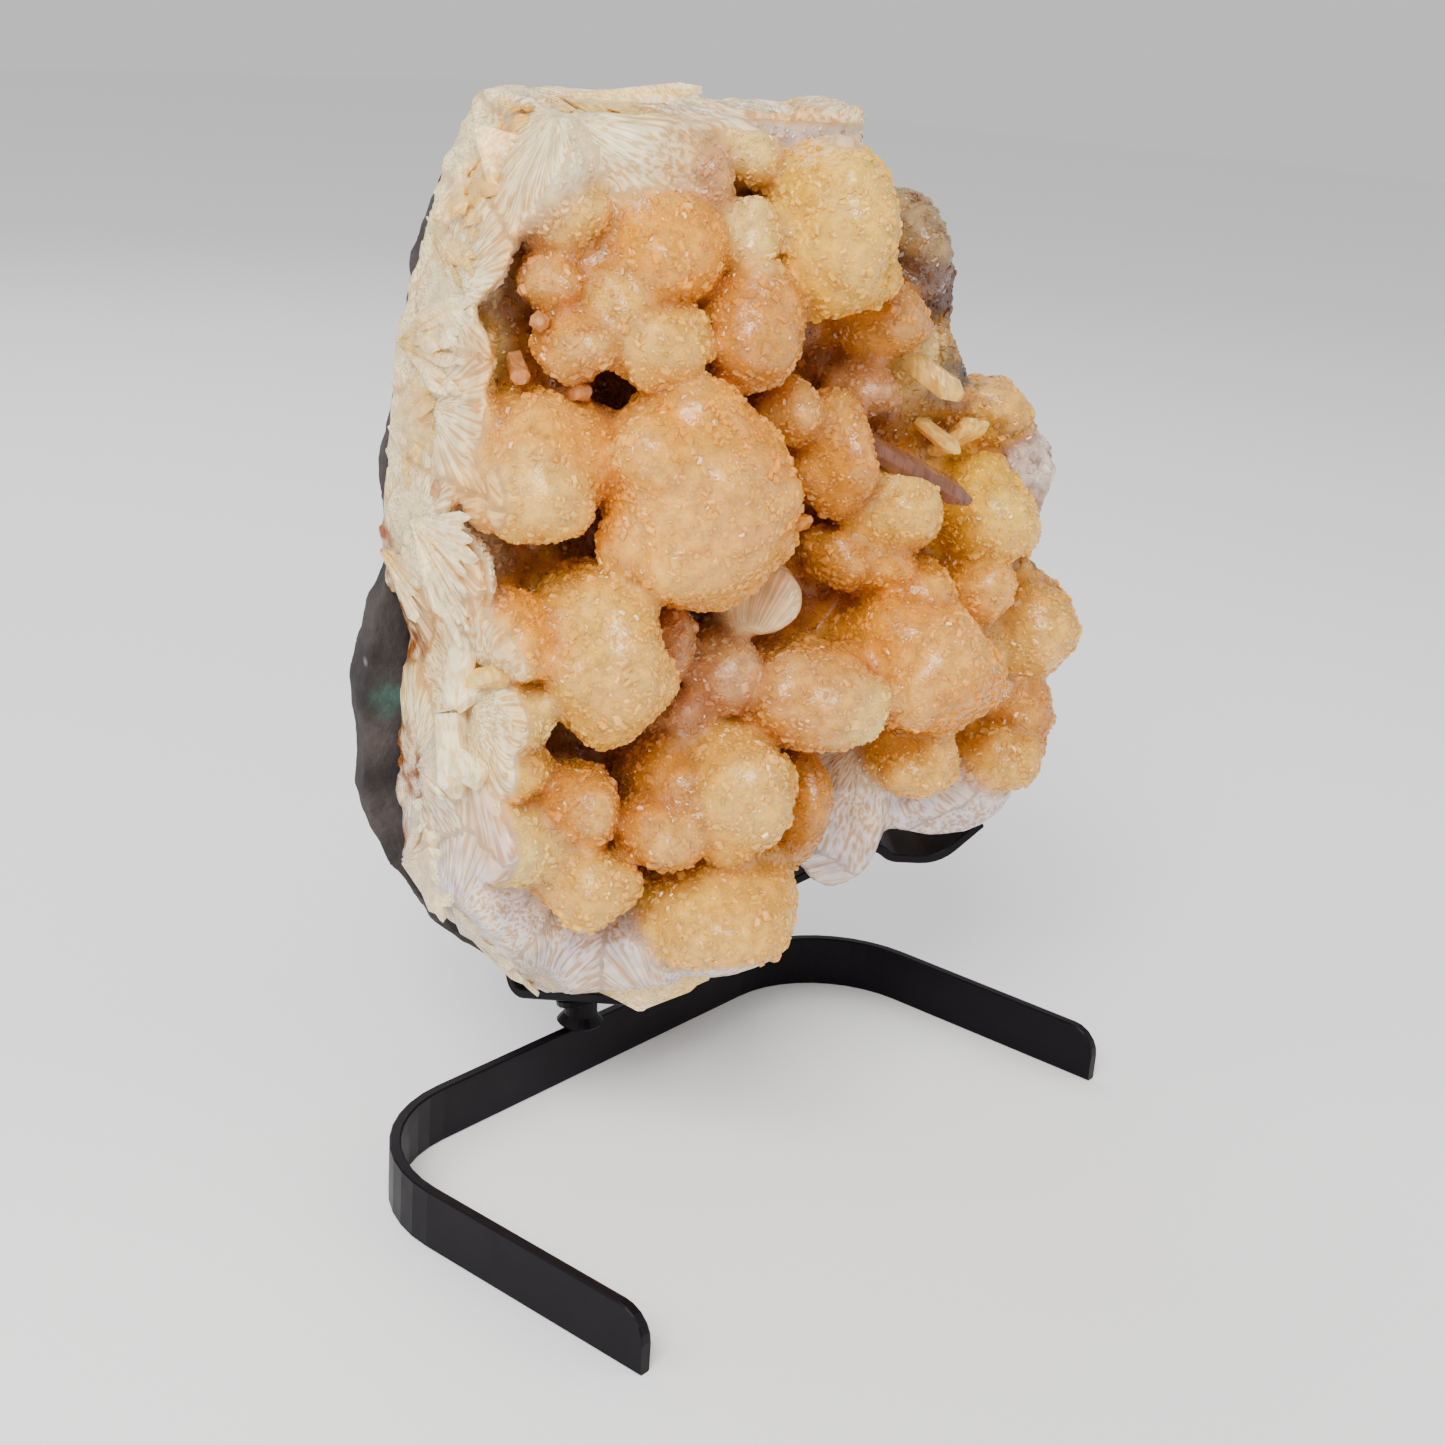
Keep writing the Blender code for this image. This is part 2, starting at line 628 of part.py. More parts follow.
def rock(finish):
    """The dark rock that the crust grew on, with a rough, rounded back."""
    made = slab("basalt_matrix", ROCK_OUTLINE, ROCK_LAYERS, finish)
    rng = random.Random(11)
    for vert in made.data.vertices:
        if vert.co.z < (ROCK_LAYERS[0][0] - 1) * MM:
            vert.co += Vector((rng.uniform(-3, 3), rng.uniform(-3, 3), rng.uniform(-2.5, 2.5))) * MM
    made.matrix_world = STONE_FRAME
    return made


def main():
    clear_scene()
    iron = material("black iron", (0.018, 0.014, 0.020), 0.38, 0.3)
    stone = material("stilbite", (0.80, 0.58, 0.36), 0.45)
    dark = material("basalt", (0.10, 0.09, 0.09), 0.85)
    foot(iron)
    post(iron)
    round_plate(iron)
    left_seat(iron)
    right_hook(iron)
    crystals(stone)
    rock(dark)


main()
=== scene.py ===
"""Looks of the stilbite cluster on its black iron stand.

The stone is worked out in its own frame, in millimetres: across (its right, seen
from the front), up and out (towards someone who faces the crystals).
"""

import math

import bpy
import numpy as np
from mathutils import Matrix, Vector


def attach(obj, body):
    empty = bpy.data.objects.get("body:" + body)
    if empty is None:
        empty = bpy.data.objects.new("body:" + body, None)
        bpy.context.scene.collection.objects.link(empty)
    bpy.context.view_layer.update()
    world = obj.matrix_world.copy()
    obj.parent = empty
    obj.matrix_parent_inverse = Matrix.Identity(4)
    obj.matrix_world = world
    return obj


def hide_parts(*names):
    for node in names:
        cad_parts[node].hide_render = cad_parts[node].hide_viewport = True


MM = 0.001
STONE_FRAME = (
    Matrix.Translation(Vector((-8, -42, 208)) * MM)
    @ Matrix.Rotation(math.radians(-25), 4, "Z")
    @ Matrix.Rotation(math.radians(86), 4, "X")
    @ Matrix.Scale(MM, 4)
)

# Colours of the stilbite, as they look in daylight (0 to 255).
TINTS = {
    "honey": (228, 148, 22),
    "gold": (234, 172, 34),
    "peach": (212, 138, 42),
    "cream": (230, 168, 60),
    "pink": (194, 132, 76),
    "pale": (234, 192, 98),
    "white": (250, 232, 186),
    "lavender": (220, 200, 182),
    "brown": (112, 78, 56),
    "amber": (192, 122, 34),
    "rust brown": (112, 66, 46),
}

# Painted shade: what crystals down between the lumps and in the grooves, and further back, lose of
# red, green and blue.
PIT_SHADE = (0.62, 0.48, 0.42)
DEEP_SHADE = (0.8, 0.68, 0.58)

# Painted shade in the grooves between the rim's fans: what they lose in the same way.
BORDER_SHADE = (0.8, 0.58, 0.36)

# Colours of other places on the crust, in daylight.
WALL_TINT = (216, 164, 104)
FROST_TINT = (246, 204, 116)
SPECK_TINT = (104, 68, 48)
ROCK_TINT = (70, 64, 58)
RIM_WHITE = (250, 234, 188)
RIM_WARM = (236, 180, 98)
# The next one is painted shade: the cool lavender grey low down on the rim, where it faces down.
RIM_LOW_SHADE = (214, 202, 208)
RUST_TINT = (150, 84, 20)

# The dark rock's own colours, in daylight.
ROCK_DARK = (32, 27, 28)
ROCK_LIGHTER = (66, 58, 56)
ROCK_SPOT = (206, 200, 192)
ROCK_TEAL = (56, 92, 86)

# Darkest and lightest factor of the stripes, on whole lumps and where they broke.
FAINT_STRIPES = ((0.94, 0.9, 0.84), (1.04, 1.05, 1.08))
STRONG_STRIPES = ((0.74, 0.54, 0.32), (1.04, 1.04, 1.03))

# A crystal end's ten corners: painted shade, darker at the foot, and frosted at the top.
TIP_FOOT_SHADE_AND_FROST = [(0.9, 0.86, 0.8)] * 4 + [(0.99, 0.98, 0.97)] * 4 + [(1.03, 1.07, 1.25)] * 2
TIP_CORNERS = len(TIP_FOOT_SHADE_AND_FROST)

# How many crystal ends are placed for each of their three pieces.
TIPS_EACH = 14000

# Lumps of radiating crystals: name, (across, up, out) of the middle, half sizes
# the same way, turn in degrees, tint.
LUMPS = [
    ("great ball", (-20, 20, 30), (27, 35, 34), 8, "honey"),
    ("left ball", (-66, 27, 12), (19, 23, 28), 0, "honey"),
    ("left ball front", (-69, 22, 28), (13, 14, 18), 0, "cream"),
    ("yellow ball", (25, 99, 18), (18, 28, 34), -8, "gold"),
    ("yellow burr", (-2, 97, 20), (10, 9, 16), 0, "pale"),
    ("brown fan", (71, 92, -16), (13, 20, 28), 0, "brown"),
    ("ball under yellow", (55, 71, -2), (15, 14, 26), 0, "peach"),
    ("prism knob", (71, 58, -6), (9, 7, 16), 30, "pale"),
    ("column", (-1, 69, 16), (18, 19, 30), 0, "peach"),
    ("column foot", (18, 43, 12), (9, 10, 18), 0, "peach"),
    ("middle ball", (-34, 65, 28), (14, 12, 22), -20, "cream"),
    ("upper ball", (-29, 92, 12), (19, 18, 30), 0, "honey"),
    ("upper left ball", (-57, 103, 10), (12, 10, 22), 0, "cream"),
    ("amber body", (-48, 88, 0), (16, 15, 26), 0, "amber"),
    ("pink ball", (-14, 112, 6), (9, 13, 22), 0, "pink"),
    ("pale fan", (4, 119, 0), (9, 10, 22), 0, "pale"),
    ("burr", (-62, 82, 14), (8, 8, 16), 0, "peach"),
    ("fan ball", (-45, 76, 18), (12, 10, 20), 30, "cream"),
    ("ball under fan", (-57, 65, 20), (11, 9, 20), -10, "peach"),
    ("edge knob", (-84, 44, 2), (9, 9, 20), 0, "cream"),
    ("pink knob", (-45, 39, 8), (5, 5, 12), 0, "pink"),
    ("right column", (35, 29, 10), (12, 19, 28), 5, "peach"),
    ("pink block", (50, 49, 0), (10, 10, 22), 0, "pink"),
    ("middle right ball", (56, 13, 12), (16, 15, 26), 0, "cream"),
    ("golden right ball", (100, 6, -2), (15, 18, 28), 10, "gold"),
    ("golden low ball", (100, -20, -4), (13, 12, 24), 0, "honey"),
    ("smooth knob", (111, 39, -16), (9, 10, 18), 0, "cream"),
    ("grey knob", (127, 20, -26), (11, 13, 22), 0, "lavender"),
    ("cluster left", (41, -6, 6), (9, 9, 20), 0, "peach"),
    ("cluster middle", (56, -8, 6), (12, 9, 20), 0, "honey"),
    ("cluster right", (69, -17, 8), (12, 10, 22), 0, "honey"),
    ("white edge ball", (129, -38, -14), (15, 19, 28), 0, "cream"),
    ("big right ball", (68, -40, 14), (26, 23, 38), -10, "honey"),
    ("wide low ball", (26, -47, 20), (23, 17, 32), 0, "peach"),
    ("white knob", (33, -49, 38), (10, 10, 16), 0, "pale"),
    ("low right edge", (124, -70, -14), (14, 13, 26), 0, "peach"),
    ("low right front", (112, -82, -4), (16, 12, 28), 8, "cream"),
    ("low right middle", (72, -76, 10), (15, 11, 24), -6, "cream"),
    ("right foot", (98, -96, -1), (25, 13, 13), 8, "lavender"),
    ("lower left ball", (-47, -29, 20), (18, 29, 36), 5, "cream"),
    ("lower left side", (-73, -23, 12), (13, 13, 26), 0, "honey"),
    ("flat block", (-76, -48, 18), (15, 10, 20), 6, "pale"),
    ("under block", (-73, -64, 8), (14, 11, 24), 0, "cream"),
    ("pink fan", (-2, -39, 12), (11, 14, 22), 0, "pink"),
    ("white fan", (8, -14, 16), (13, 12, 24), 35, "pink"),
    ("deep pink", (-14, -56, 6), (11, 11, 18), 0, "pink"),
    ("behind lower left", (-21, -28, 10), (8, 14, 20), 0, "pink"),
    ("low ball", (-3, -75, 24), (18, 20, 34), 0, "cream"),
    ("low ball side", (-22, -72, 14), (11, 12, 24), 0, "peach"),
    ("tan side", (27, -86, 6), (10, 24, 28), -6, "amber"),
    ("low middle", (-28, -86, 26), (13, 11, 24), 0, "peach"),
    ("low step", (-52, -78, 16), (12, 13, 24), 0, "peach"),
    ("low long", (-75, -88, 6), (25, 15, 30), -20, "pale"),
    ("low small", (-51, -102, 20), (14, 12, 26), 10, "cream"),
    ("foot ball", (-6, -117, 18), (28, 19, 40), 14, "cream"),
    ("foot white", (-32, -133, -2), (24, 22, 36), 0, "pale"),
    ("pale slab", (58, -98, -8), (16, 29, 19), -8, "lavender"),
    ("top left block", (-66, 116, -8), (20, 22, 40), 0, "white"),
    ("top fan", (-36, 120, -6), (26, 20, 34), 0, "pale"),
    ("top small blocks", (-10, 128, -20), (16, 14, 28), 0, "cream"),
    ("top right slab", (32, 130, -30), (30, 15, 22), 0, "lavender"),
    ("rim fan top", (-84, 99, -20), (16, 27, 52), 0, "white"),
    ("rim fan upper", (-90, 60, -20), (16, 18, 50), 0, "pale"),
    ("rim fan middle", (-94, 26, -26), (16, 22, 42), 0, "white"),
    ("rim fan bright", (-90, -6, -16), (15, 17, 46), -30, "white"),
    ("rim low", (-90, -52, -22), (14, 36, 36), 0, "peach"),
    ("rim foot", (-72, -118, -20), (34, 22, 38), -38, "lavender"),
    ("bottom left edge", (-46, -146, -26), (26, 22, 22), -20, "lavender"),
]

# Flat crystals: name, root, the way they point, length, width, thickness, tint.
BLADES = [
    ("brown blade", (40, 34, 26), (0.86, -0.42, 0.02), 44, 9, 7, "rust brown"),
    ("star up", (-86, -47, 2), (0.05, 1.0, 0.3), 24, 10, 6, "white"),
    ("star upper right", (-86, -47, 3), (0.72, 0.66, 0.35), 25, 10, 6, "white"),
    ("star low", (-86, -50, 0), (0.02, -1.0, 0.22), 27, 15, 9, "white"),
    ("pink prism", (-92, 20, 0), (0.7, -0.2, 0.7), 22, 7, 6, "pink"),
    ("right prism", (66, 60, 0), (0.5, -0.5, 0.7), 26, 9, 8, "pale"),
    ("sparkly blade 1", (84, 26, -4), (0.3, 0.5, 0.8), 24, 8, 4, "pale"),
    ("sparkly blade 2", (92, 30, -6), (-0.2, 0.4, 0.9), 22, 7, 4, "pale"),
    ("sparkly blade 3", (78, 36, -4), (0.1, -0.3, 0.9), 22, 7, 4, "pale"),
    ("lower block 1", (-84, -66, 0), (-0.1, 0.1, 1.0), 22, 13, 9, "white"),
    ("lower block 2", (-82, -40, 4), (0.2, 0.3, 0.9), 22, 10, 6, "pale"),
    ("hollow crystal 1", (-56, 48, 8), (0.1, 0.2, 1.0), 20, 6, 5, "pink"),
    ("hollow crystal 2", (-62, 70, 10), (-0.4, 0.1, 0.9), 20, 6, 5, "pink"),
    ("hollow crystal 3", (-70, 60, 8), (-0.2, -0.3, 0.9), 18, 6, 4, "pink"),
    ("pit crystal 1", (16, 2, 6), (0.3, 0.4, 0.9), 22, 7, 5, "peach"),
    ("pit crystal 2", (14, -66, 8), (0.1, 0.5, 0.9), 18, 6, 5, "pink"),
]

# Lumps that broke along their fibres, or never ended in fine crystals, and how much so.
FIBROUS = {
    "top fan": 1.0, "top small blocks": 1.0, "pale slab": 1.0, "right foot": 1.0,
    "foot white": 1.0, "rim foot": 1.0, "white fan": 0.52,
}

# Where some of them split flat: the way the face points, and its share of the way out.
CLEAVED = {
    "white fan": ((-0.62, 0.28, 0.73), 0.55),
    "pale slab": ((-0.5, -0.25, 0.83), 0.66),
    "right foot": ((-0.2, -0.5, 0.84), 0.7),
    "foot white": ((-0.45, -0.35, 0.82), 0.78),
}

# Lumps that grew into one another, so that no painted groove shade parts them: small, large.
GROWN_TOGETHER = (("left ball front", "left ball"), ("white knob", "wide low ball"))
LUMP_NUMBER = {lump[0]: number for number, lump in enumerate(LUMPS)}

# The crust's edge, and what its breaks left of it, seen from the front: (across, up).
CRUST_OUTLINE = [
    (-70, 135), (-45, 140), (-10, 146), (18, 147), (30, 141), (54, 138), (54, 118), (76, 104),
    (92, 84), (88, 66), (98, 50), (120, 42), (134, 20), (126, -8), (140, -34),
    (138, -62), (128, -86), (120, -97), (94, -106), (70, -108), (44, -116),
    (20, -128), (-4, -142), (-24, -166), (-49, -162), (-74, -137), (-93, -112),
    (-92, -70), (-88, -36), (-98, -12), (-99, 22), (-95, 60), (-87, 92), (-82, 112),
]
BREAK_OUTLINE = [
    (-64, 200), (-70, 134), (-82, 112), (-87, 92), (-95, 60), (-99, 22), (-98, -12),
    (-89, -36), (-92, -70), (-93, -112), (-74, -137), (-49, -162), (-32, -194),
    (220, -194), (220, 200),
]

# How the left break slants, the top and bottom breaks by two points each, (out, up),
# and how far out the rock ends and the crust begins.
BREAK_SLANT = 0.13
TOP_BREAK = ((-45, 141), (60, 125))
BOTTOM_BREAK = ((-45, -166), (60, -128))
CRUST_BACK = -44

# Points that the striped, broken fans of the rim spread from: (across, up, out).
FAN_ROOTS = [
    (-87, 98, -42), (-97, 60, -42), (-91, 7.5, -18), (-98, 30, -38), (-80, 127, -38),
    (-97, -9, -38), (-88, -48, 2), (-93, -112, -38), (-70, -143, -24), (-22, -153, 26),
    (-60, 131, 14), (-2, -32, 30), (-84, -124, -6), (-58, -150, 4), (-50, 139, -34),
    (-10, 150, -40), (30, 150, -44), (62, -68, 2), (112, -106, -30), (-94, -76, -30),
    (-90, 78, -14), (-92, 44, -14), (20, -134, -30), (60, 142, -30),
]

# Fans of flat blades that lie in the breaks: root, the point they fan out towards,
# the fan's whole angle in degrees, how many blades, the tints of root and end, and
# which way it faces where it doesn't lie in a break.
FANS = [
    ((-86, 99, -40), (-72, 101, 6), 76, 19, "white", "pale"),
    ((-83, 122, -36), (-68, 112, 2), 70, 13, "white", "pale"),
    ((-94, 60, -41), (-86, 64, 8), 50, 15, "pale", "white"),
    ((-97, 34, -41), (-84, 34, -4), 80, 13, "white", "pale"),
    ((-91, 8, -17), (-74, -11, 22), 74, 17, "white", "white"),
    ((-96, -6, -40), (-88, -10, -10), 70, 9, "pale", "white"),
    ((-88, -48, -4), (-84, -30, 8), 60, 7, "white", "pale"),
    ((-92, -76, -28), (-84, -64, 4), 64, 9, "lavender", "white"),
    ((-93, -112, -40), (-82, -100, -4), 80, 13, "lavender", "white"),
    ((-72, -138, -34), (-66, -128, 4), 84, 13, "lavender", "white"),
    ((-22, -157, -12), (-30, -140, 20), 100, 15, "white", "white"),
    ((-50, 136, -30), (-46, 132, 12), 80, 13, "white", "pale"),
    ((-12, 144, -42), (-16, 140, -2), 84, 13, "lavender", "white"),
    ((30, 140, -43), (28, 139, -14), 80, 9, "lavender", "white"),
    ((-66, 133, -16), (-8, 122, 6), 46, 15, "pale", "white", (-0.1, 0.42, 0.9)),
    ((-78, 126, -8), (-60, 104, 12), 60, 11, "white", "pale", (-0.5, 0.2, 0.84)),
    ((-22, -158, 6), (-30, -130, 30), 96, 15, "white", "pale", (-0.25, -0.62, 0.75)),
]

# A fan blade's rings: share of its length, of its width, and how far it rises.
BLADE_RINGS = ((0.04, 0.2, -0.3), (0.5, 0.6, -0.1), (0.88, 1.0, 0.1), (1.0, 0.45, -0.6))

# Where the crust is so thin that the rock shows: middle and half sizes.
BARE_ROCK = ((90, 52, -14), (14, 11, 16))

# The blue-green patch on the rock, in the same way.
TEAL_PATCH = ((-93.0, -56.0, -50.0), (8, 9, 10))

# Rust stains on the rim, next to the rock: (across, up, out) and how wide.
RUST = [
    ((-95, -6, -42), 6), ((-92, -30, -42), 8), ((-90, -36, -36), 5), ((-95, -73, -42), 8),
    ((-88, -80, -26), 6), ((-47, -157, -42), 5), ((-94, -104, -42), 4),
]

# The camera: metres, degrees of yaw, pitch and roll, and millimetres.
CAMERA_PLACE = (-0.50939, -0.45337, 0.37173)
CAMERA_ANGLES = (51.35904, 19.14049, 4.17973)
LENS = 51.636

# How far the joins of lumps and of their buds are rounded off.
LUMP_FILLET = 6.0
BUD_FILLET = 3.0

# How far from a break the surface counts as broken and carries no crystal ends.
RIM_MARGIN = 6.0

# The grid that the crust's surface is worked out on: step and corners.
FIELD_STEP = 1.9
FIELD_LOW = np.array((-112.0, -174.0, -48.0))
FIELD_HIGH = np.array((150.0, 154.0, 70.0))

# The voxels of the rock, and a distance larger than any.
ROCK_STEP = 1.8
FAR_AWAY = 1e9

# Soft lights: name, place, size and power. All of them aim at LIT.
LIGHTS = (
    ("key", (-1.3, -0.7, 1.5), 1.0, 46),
    ("left", (-1.4, 0.5, 1.5), 1.0, 10),
    ("fill", (0.9, -1.4, 0.9), 1.2, 7),
    ("back", (0.5, 1.3, 1.4), 1.2, 10),
)
LIT = (0, 0, 0.2)
SKY_COLOUR = (1.0, 0.99, 0.985, 1)
SKY_STRENGTH = 0.72
FLOOR_HALF = 6.0


def linear(colour):
    """Daylight colour (0 to 255) to the values that the renderer works with."""
    c = np.asarray(colour, float) / 255
    return np.where(c <= 0.04045, c / 12.92, ((c + 0.055) / 1.055) ** 2.4)


def hashed(cells, seed):
    """A repeatable number from 0 to 1 for each whole-number cell."""
    n = cells[..., 0] * 73856093 ^ cells[..., 1] * 19349663
    n = n ^ cells[..., 2] * 83492791 ^ seed * 2654435761
    n = (n ^ (n >> 13)) * 1274126177 & 0x7FFFFFFF
    n = (n ^ (n >> 16)) * 374761393 & 0x7FFFFFFF
    return (n ^ (n >> 15)) % 1000003 / 1000003.0


def smooth_noise(points, size, seed):
    """Soft noise from -1 to 1 with hills about as wide as size."""
    at = points / size
    low = np.floor(at).astype(np.int64)
    part = at - low
    part = part * part * (3 - 2 * part)
    total = np.zeros(points.shape[:-1])
    for corner in range(8):
        step = np.array((corner & 1, corner >> 1 & 1, corner >> 2))
        weight = np.prod(np.where(step, part, 1 - part), axis=-1)
        total += weight * hashed(low + step, seed)
    return total * 2 - 1


def layered_noise(points, size, octaves, seed):
    """Smooth noise with finer and weaker layers on top."""
    total = np.zeros(points.shape[:-1])
    strength = 1.0
    for octave in range(octaves):
        total += strength * smooth_noise(points, size / 2**octave, seed + octave)
        strength *= 0.5
    return total


def outline_distance(points, outline):
    """Distance of 2D points from a closed outline, negative inside it."""
    best = np.full(points.shape[:-1], FAR_AWAY)
    inside = np.zeros(points.shape[:-1], bool)
    for a, b in zip(outline, outline[1:] + outline[:1]):
        a = np.array(a, float)
        b = np.array(b, float)
        along = b - a
        share = np.clip(((points - a) @ along) / (along @ along), 0, 1)
        best = np.minimum(best, np.linalg.norm(points - a - share[..., None] * along, axis=-1))
        crosses = (a[1] > points[..., 1]) != (b[1] > points[..., 1])
        rise = b[1] - a[1] if b[1] != a[1] else 1e-9
        inside ^= crosses & (points[..., 0] < a[0] + (points[..., 1] - a[1]) * along[0] / rise)
    return np.where(inside, -best, best)


def lump_local(points, lump):
    """Points seen from a lump's middle, turned with it."""
    _, middle, _, turn, _ = lump
    turn = math.radians(turn)
    moved = points - np.array(middle, float)
    x = moved[..., 0] * math.cos(turn) + moved[..., 1] * math.sin(turn)
    y = moved[..., 1] * math.cos(turn) - moved[..., 0] * math.sin(turn)
    return np.stack((x, y, moved[..., 2]), axis=-1)


def lump_distance(points, lump):
    """About how far points are outside a lump, in millimetres."""
    half = np.array(lump[2], float)
    local = lump_local(points, lump)
    size = np.linalg.norm(local / half, axis=-1)
    slope = np.linalg.norm(local / half**2, axis=-1)
    distance = size * (size - 1) / np.maximum(slope, 1e-6)
    if lump[0] in CLEAVED:
        facing, share = CLEAVED[lump[0]]
        way = lump_local(np.array(lump[1]) + facing, lump)
        distance = np.maximum(distance, local @ way - share * np.linalg.norm(way * half))
    return distance


def with_buds():
    """The lumps, and smaller buds of crystals that swell out of the larger ones."""
    rng = np.random.default_rng(23)
    found = [(lump, LUMP_FILLET) for lump in LUMPS]
    for name, middle, half, turn, tint in LUMPS:
        if name.startswith(("rim", "top")) or name == "pale slab":
            continue
        size = min(half[0], half[1])
        for _ in range(int(4 + size / 4)):
            way = rng.normal(0, 1, 3)
            way[2] = abs(way[2]) * 0.9
            way /= np.linalg.norm(way)
            small = size * rng.uniform(0.32, 0.6)
            turned = math.radians(turn)
            local = way * np.array(half) * rng.uniform(0.66, 0.84)
            x = local[0] * math.cos(turned) - local[1] * math.sin(turned)
            y = local[1] * math.cos(turned) + local[0] * math.sin(turned)
            place = tuple(np.array(middle) + (x, y, local[2]))
            spread = small * rng.uniform(0.8, 1.2, 3)
            bud = (name, place, tuple(spread), rng.uniform(0, 90), tint)
            if name not in CLEAVED:  # A lump that split flat has no buds, only their draws.
                found.append((bud, BUD_FILLET))
    return found


def soft_join(a, b, reach):
    """The lower of two distances, rounded off where they are within reach."""
    share = np.clip(reach - np.abs(a - b), 0, None) / reach
    return np.minimum(a, b) - share * share * reach / 4


def line_height(line, out):
    """How far up a slanting break lies at a point's place out."""
    (out_a, up_a), (out_b, up_b) = line
    return up_a + (up_b - up_a) * (out - out_a) / (out_b - out_a)


def fan_steps(points):
    """How much deeper than the flat break each fan of the rim split off."""
    fan, away = nearest_fan(points.reshape(-1, 3))
    far = np.linalg.norm(away, axis=1)
    rng = np.random.default_rng(41)
    depth = rng.uniform(0.2, 4.4, len(FAN_ROOTS))[fan]
    turned = away / np.maximum(far, 1)[:, None] * 6 + fan[:, None] * 9.1
    scallop = 1.8 * smooth_noise(turned, 1.0, 44)
    return (depth + scallop).reshape(points.shape[:-1])


def break_distance(points, steps=None):
    """How far points are outside the flat breaks: left, top, bottom and back."""
    shifted = points[..., :2].copy()
    shifted[..., 0] -= BREAK_SLANT * (points[..., 2] - CRUST_BACK)
    left = outline_distance(shifted, BREAK_OUTLINE)
    top = points[..., 1] - line_height(TOP_BREAK, points[..., 2])
    if steps is not None:
        left = left + steps
        top = top + 0.8 * steps
    bottom = line_height(BOTTOM_BREAK, points[..., 2]) - points[..., 1]
    back = CRUST_BACK + 0.3 - points[..., 2]
    return np.stack((left, top, bottom, back))


def field_values():
    """The stone's solid on a grid: below zero inside it."""
    axes = [np.arange(lo, hi, FIELD_STEP) for lo, hi in zip(FIELD_LOW, FIELD_HIGH)]
    shape = [len(a) for a in axes]
    values = np.empty(shape)
    flat = np.stack(np.meshgrid(axes[0], axes[1], indexing="ij"), axis=-1)
    plan = outline_distance(flat, CRUST_OUTLINE)
    hills = np.stack(np.meshgrid(axes[0], axes[1], [0.0], indexing="ij"), axis=-1)[:, :, 0]
    front = -6 + 5 * layered_noise(hills, 22, 3, 5)
    for k, out in enumerate(axes[2]):
        values[:, :, k] = np.maximum(plan + 2.0 * np.clip((out + 14) / 14, 0, 1), out - front)
    for lump, fillet in with_buds():
        middle = np.array(lump[1], float)
        reach = max(lump[2][0], lump[2][1]) + 8
        low = middle - (reach, reach, lump[2][2] + 8)
        high = middle + (reach, reach, lump[2][2] + 8)
        span = []
        for i in range(3):
            start = max(int((low[i] - FIELD_LOW[i]) / FIELD_STEP), 0)
            stop = min(int((high[i] - FIELD_LOW[i]) / FIELD_STEP) + 1, shape[i])
            span.append(slice(start, stop))
        span = tuple(span)
        points = np.stack(np.meshgrid(*[a[s] for a, s in zip(axes, span)], indexing="ij"), axis=-1)
        values[span] = soft_join(values[span], lump_distance(points, lump), fillet)
    for k, out in enumerate(axes[2]):
        layer = np.dstack((flat, np.full(flat.shape[:2], out)))
        breaks = break_distance(layer, fan_steps(layer))
        values[:, :, k] = np.maximum(values[:, :, k], breaks.max(axis=0))
    for i in range(3):
        ends = [slice(None)] * 3
        for end in (0, -1):
            ends[i] = end
            values[tuple(ends)] = np.maximum(values[tuple(ends)], 0.5)
    return values


def surface_of(values, origin, step):
    """Points and four-sided faces of the surface where the values pass zero."""
    inside = values < 0
    corners = [(c & 1, c >> 1 & 1, c >> 2) for c in range(8)]
    nx, ny, nz = (n - 1 for n in values.shape)
    count = sum(
        inside[x : x + nx, y : y + ny, z : z + nz].astype(np.int8) for x, y, z in corners
    )
    active = np.argwhere((count > 0) & (count < 8))
    index = np.full((nx, ny, nz), -1, np.int64)
    index[tuple(active.T)] = np.arange(len(active))
    held = np.stack([values[tuple((active + c).T)] for c in corners], axis=1)
    total = np.zeros((len(active), 3))
    crossings = np.zeros(len(active))
    for a in range(8):
        for bit in (1, 2, 4):
            b = a | bit
            if b == a:
                continue
            va, vb = held[:, a], held[:, b]
            cross = (va < 0) != (vb < 0)
            share = np.where(cross, va / np.where(cross, va - vb, 1), 0)
            start, end = np.array(corners[a]), np.array(corners[b])
            at = start + share[:, None] * (end - start)
            total += np.where(cross[:, None], at, 0)
            crossings += cross
    points = origin + (active + total / crossings[:, None]) * step
    faces = []
    for axis in range(3):
        u, v = (axis + 1) % 3, (axis + 2) % 3
        first = inside[tuple(slice(0, -1) if i == axis else slice(None) for i in range(3))]
        second = inside[tuple(slice(1, None) if i == axis else slice(None) for i in range(3))]
        edges = np.argwhere(first != second)
        last = np.array(values.shape)[[u, v]] - 1
        edges = edges[((edges[:, [u, v]] > 0) & (edges[:, [u, v]] < last)).all(axis=1)]
        ring = []
        for du, dv in ((0, 0), (-1, 0), (-1, -1), (0, -1)):
            cell = edges.copy()
            cell[:, u] += du
            cell[:, v] += dv
            ring.append(index[tuple(cell.T)])
        ring = np.stack(ring, axis=1)
        outward = first[tuple(edges.T)]
        ring[outward] = ring[outward][:, ::-1]
        faces.append(ring[:, ::-1])
    return points, np.concatenate(faces)


def face_normals(points, faces):
    """Normals of four-sided faces, twice as long as the faces are large."""
    a, b, c, d = (points[faces[:, i]] for i in range(4))
    return np.cross(c - a, d - b)


def point_normals(points, faces):
    """Unit normals of the points, from the faces round them."""
    across = face_normals(points, faces)
    total = np.zeros_like(points)
    for i in range(faces.shape[1]):
        np.add.at(total, faces[:, i], across)
    return total / np.maximum(np.linalg.norm(total, axis=1, keepdims=True), 1e-9)


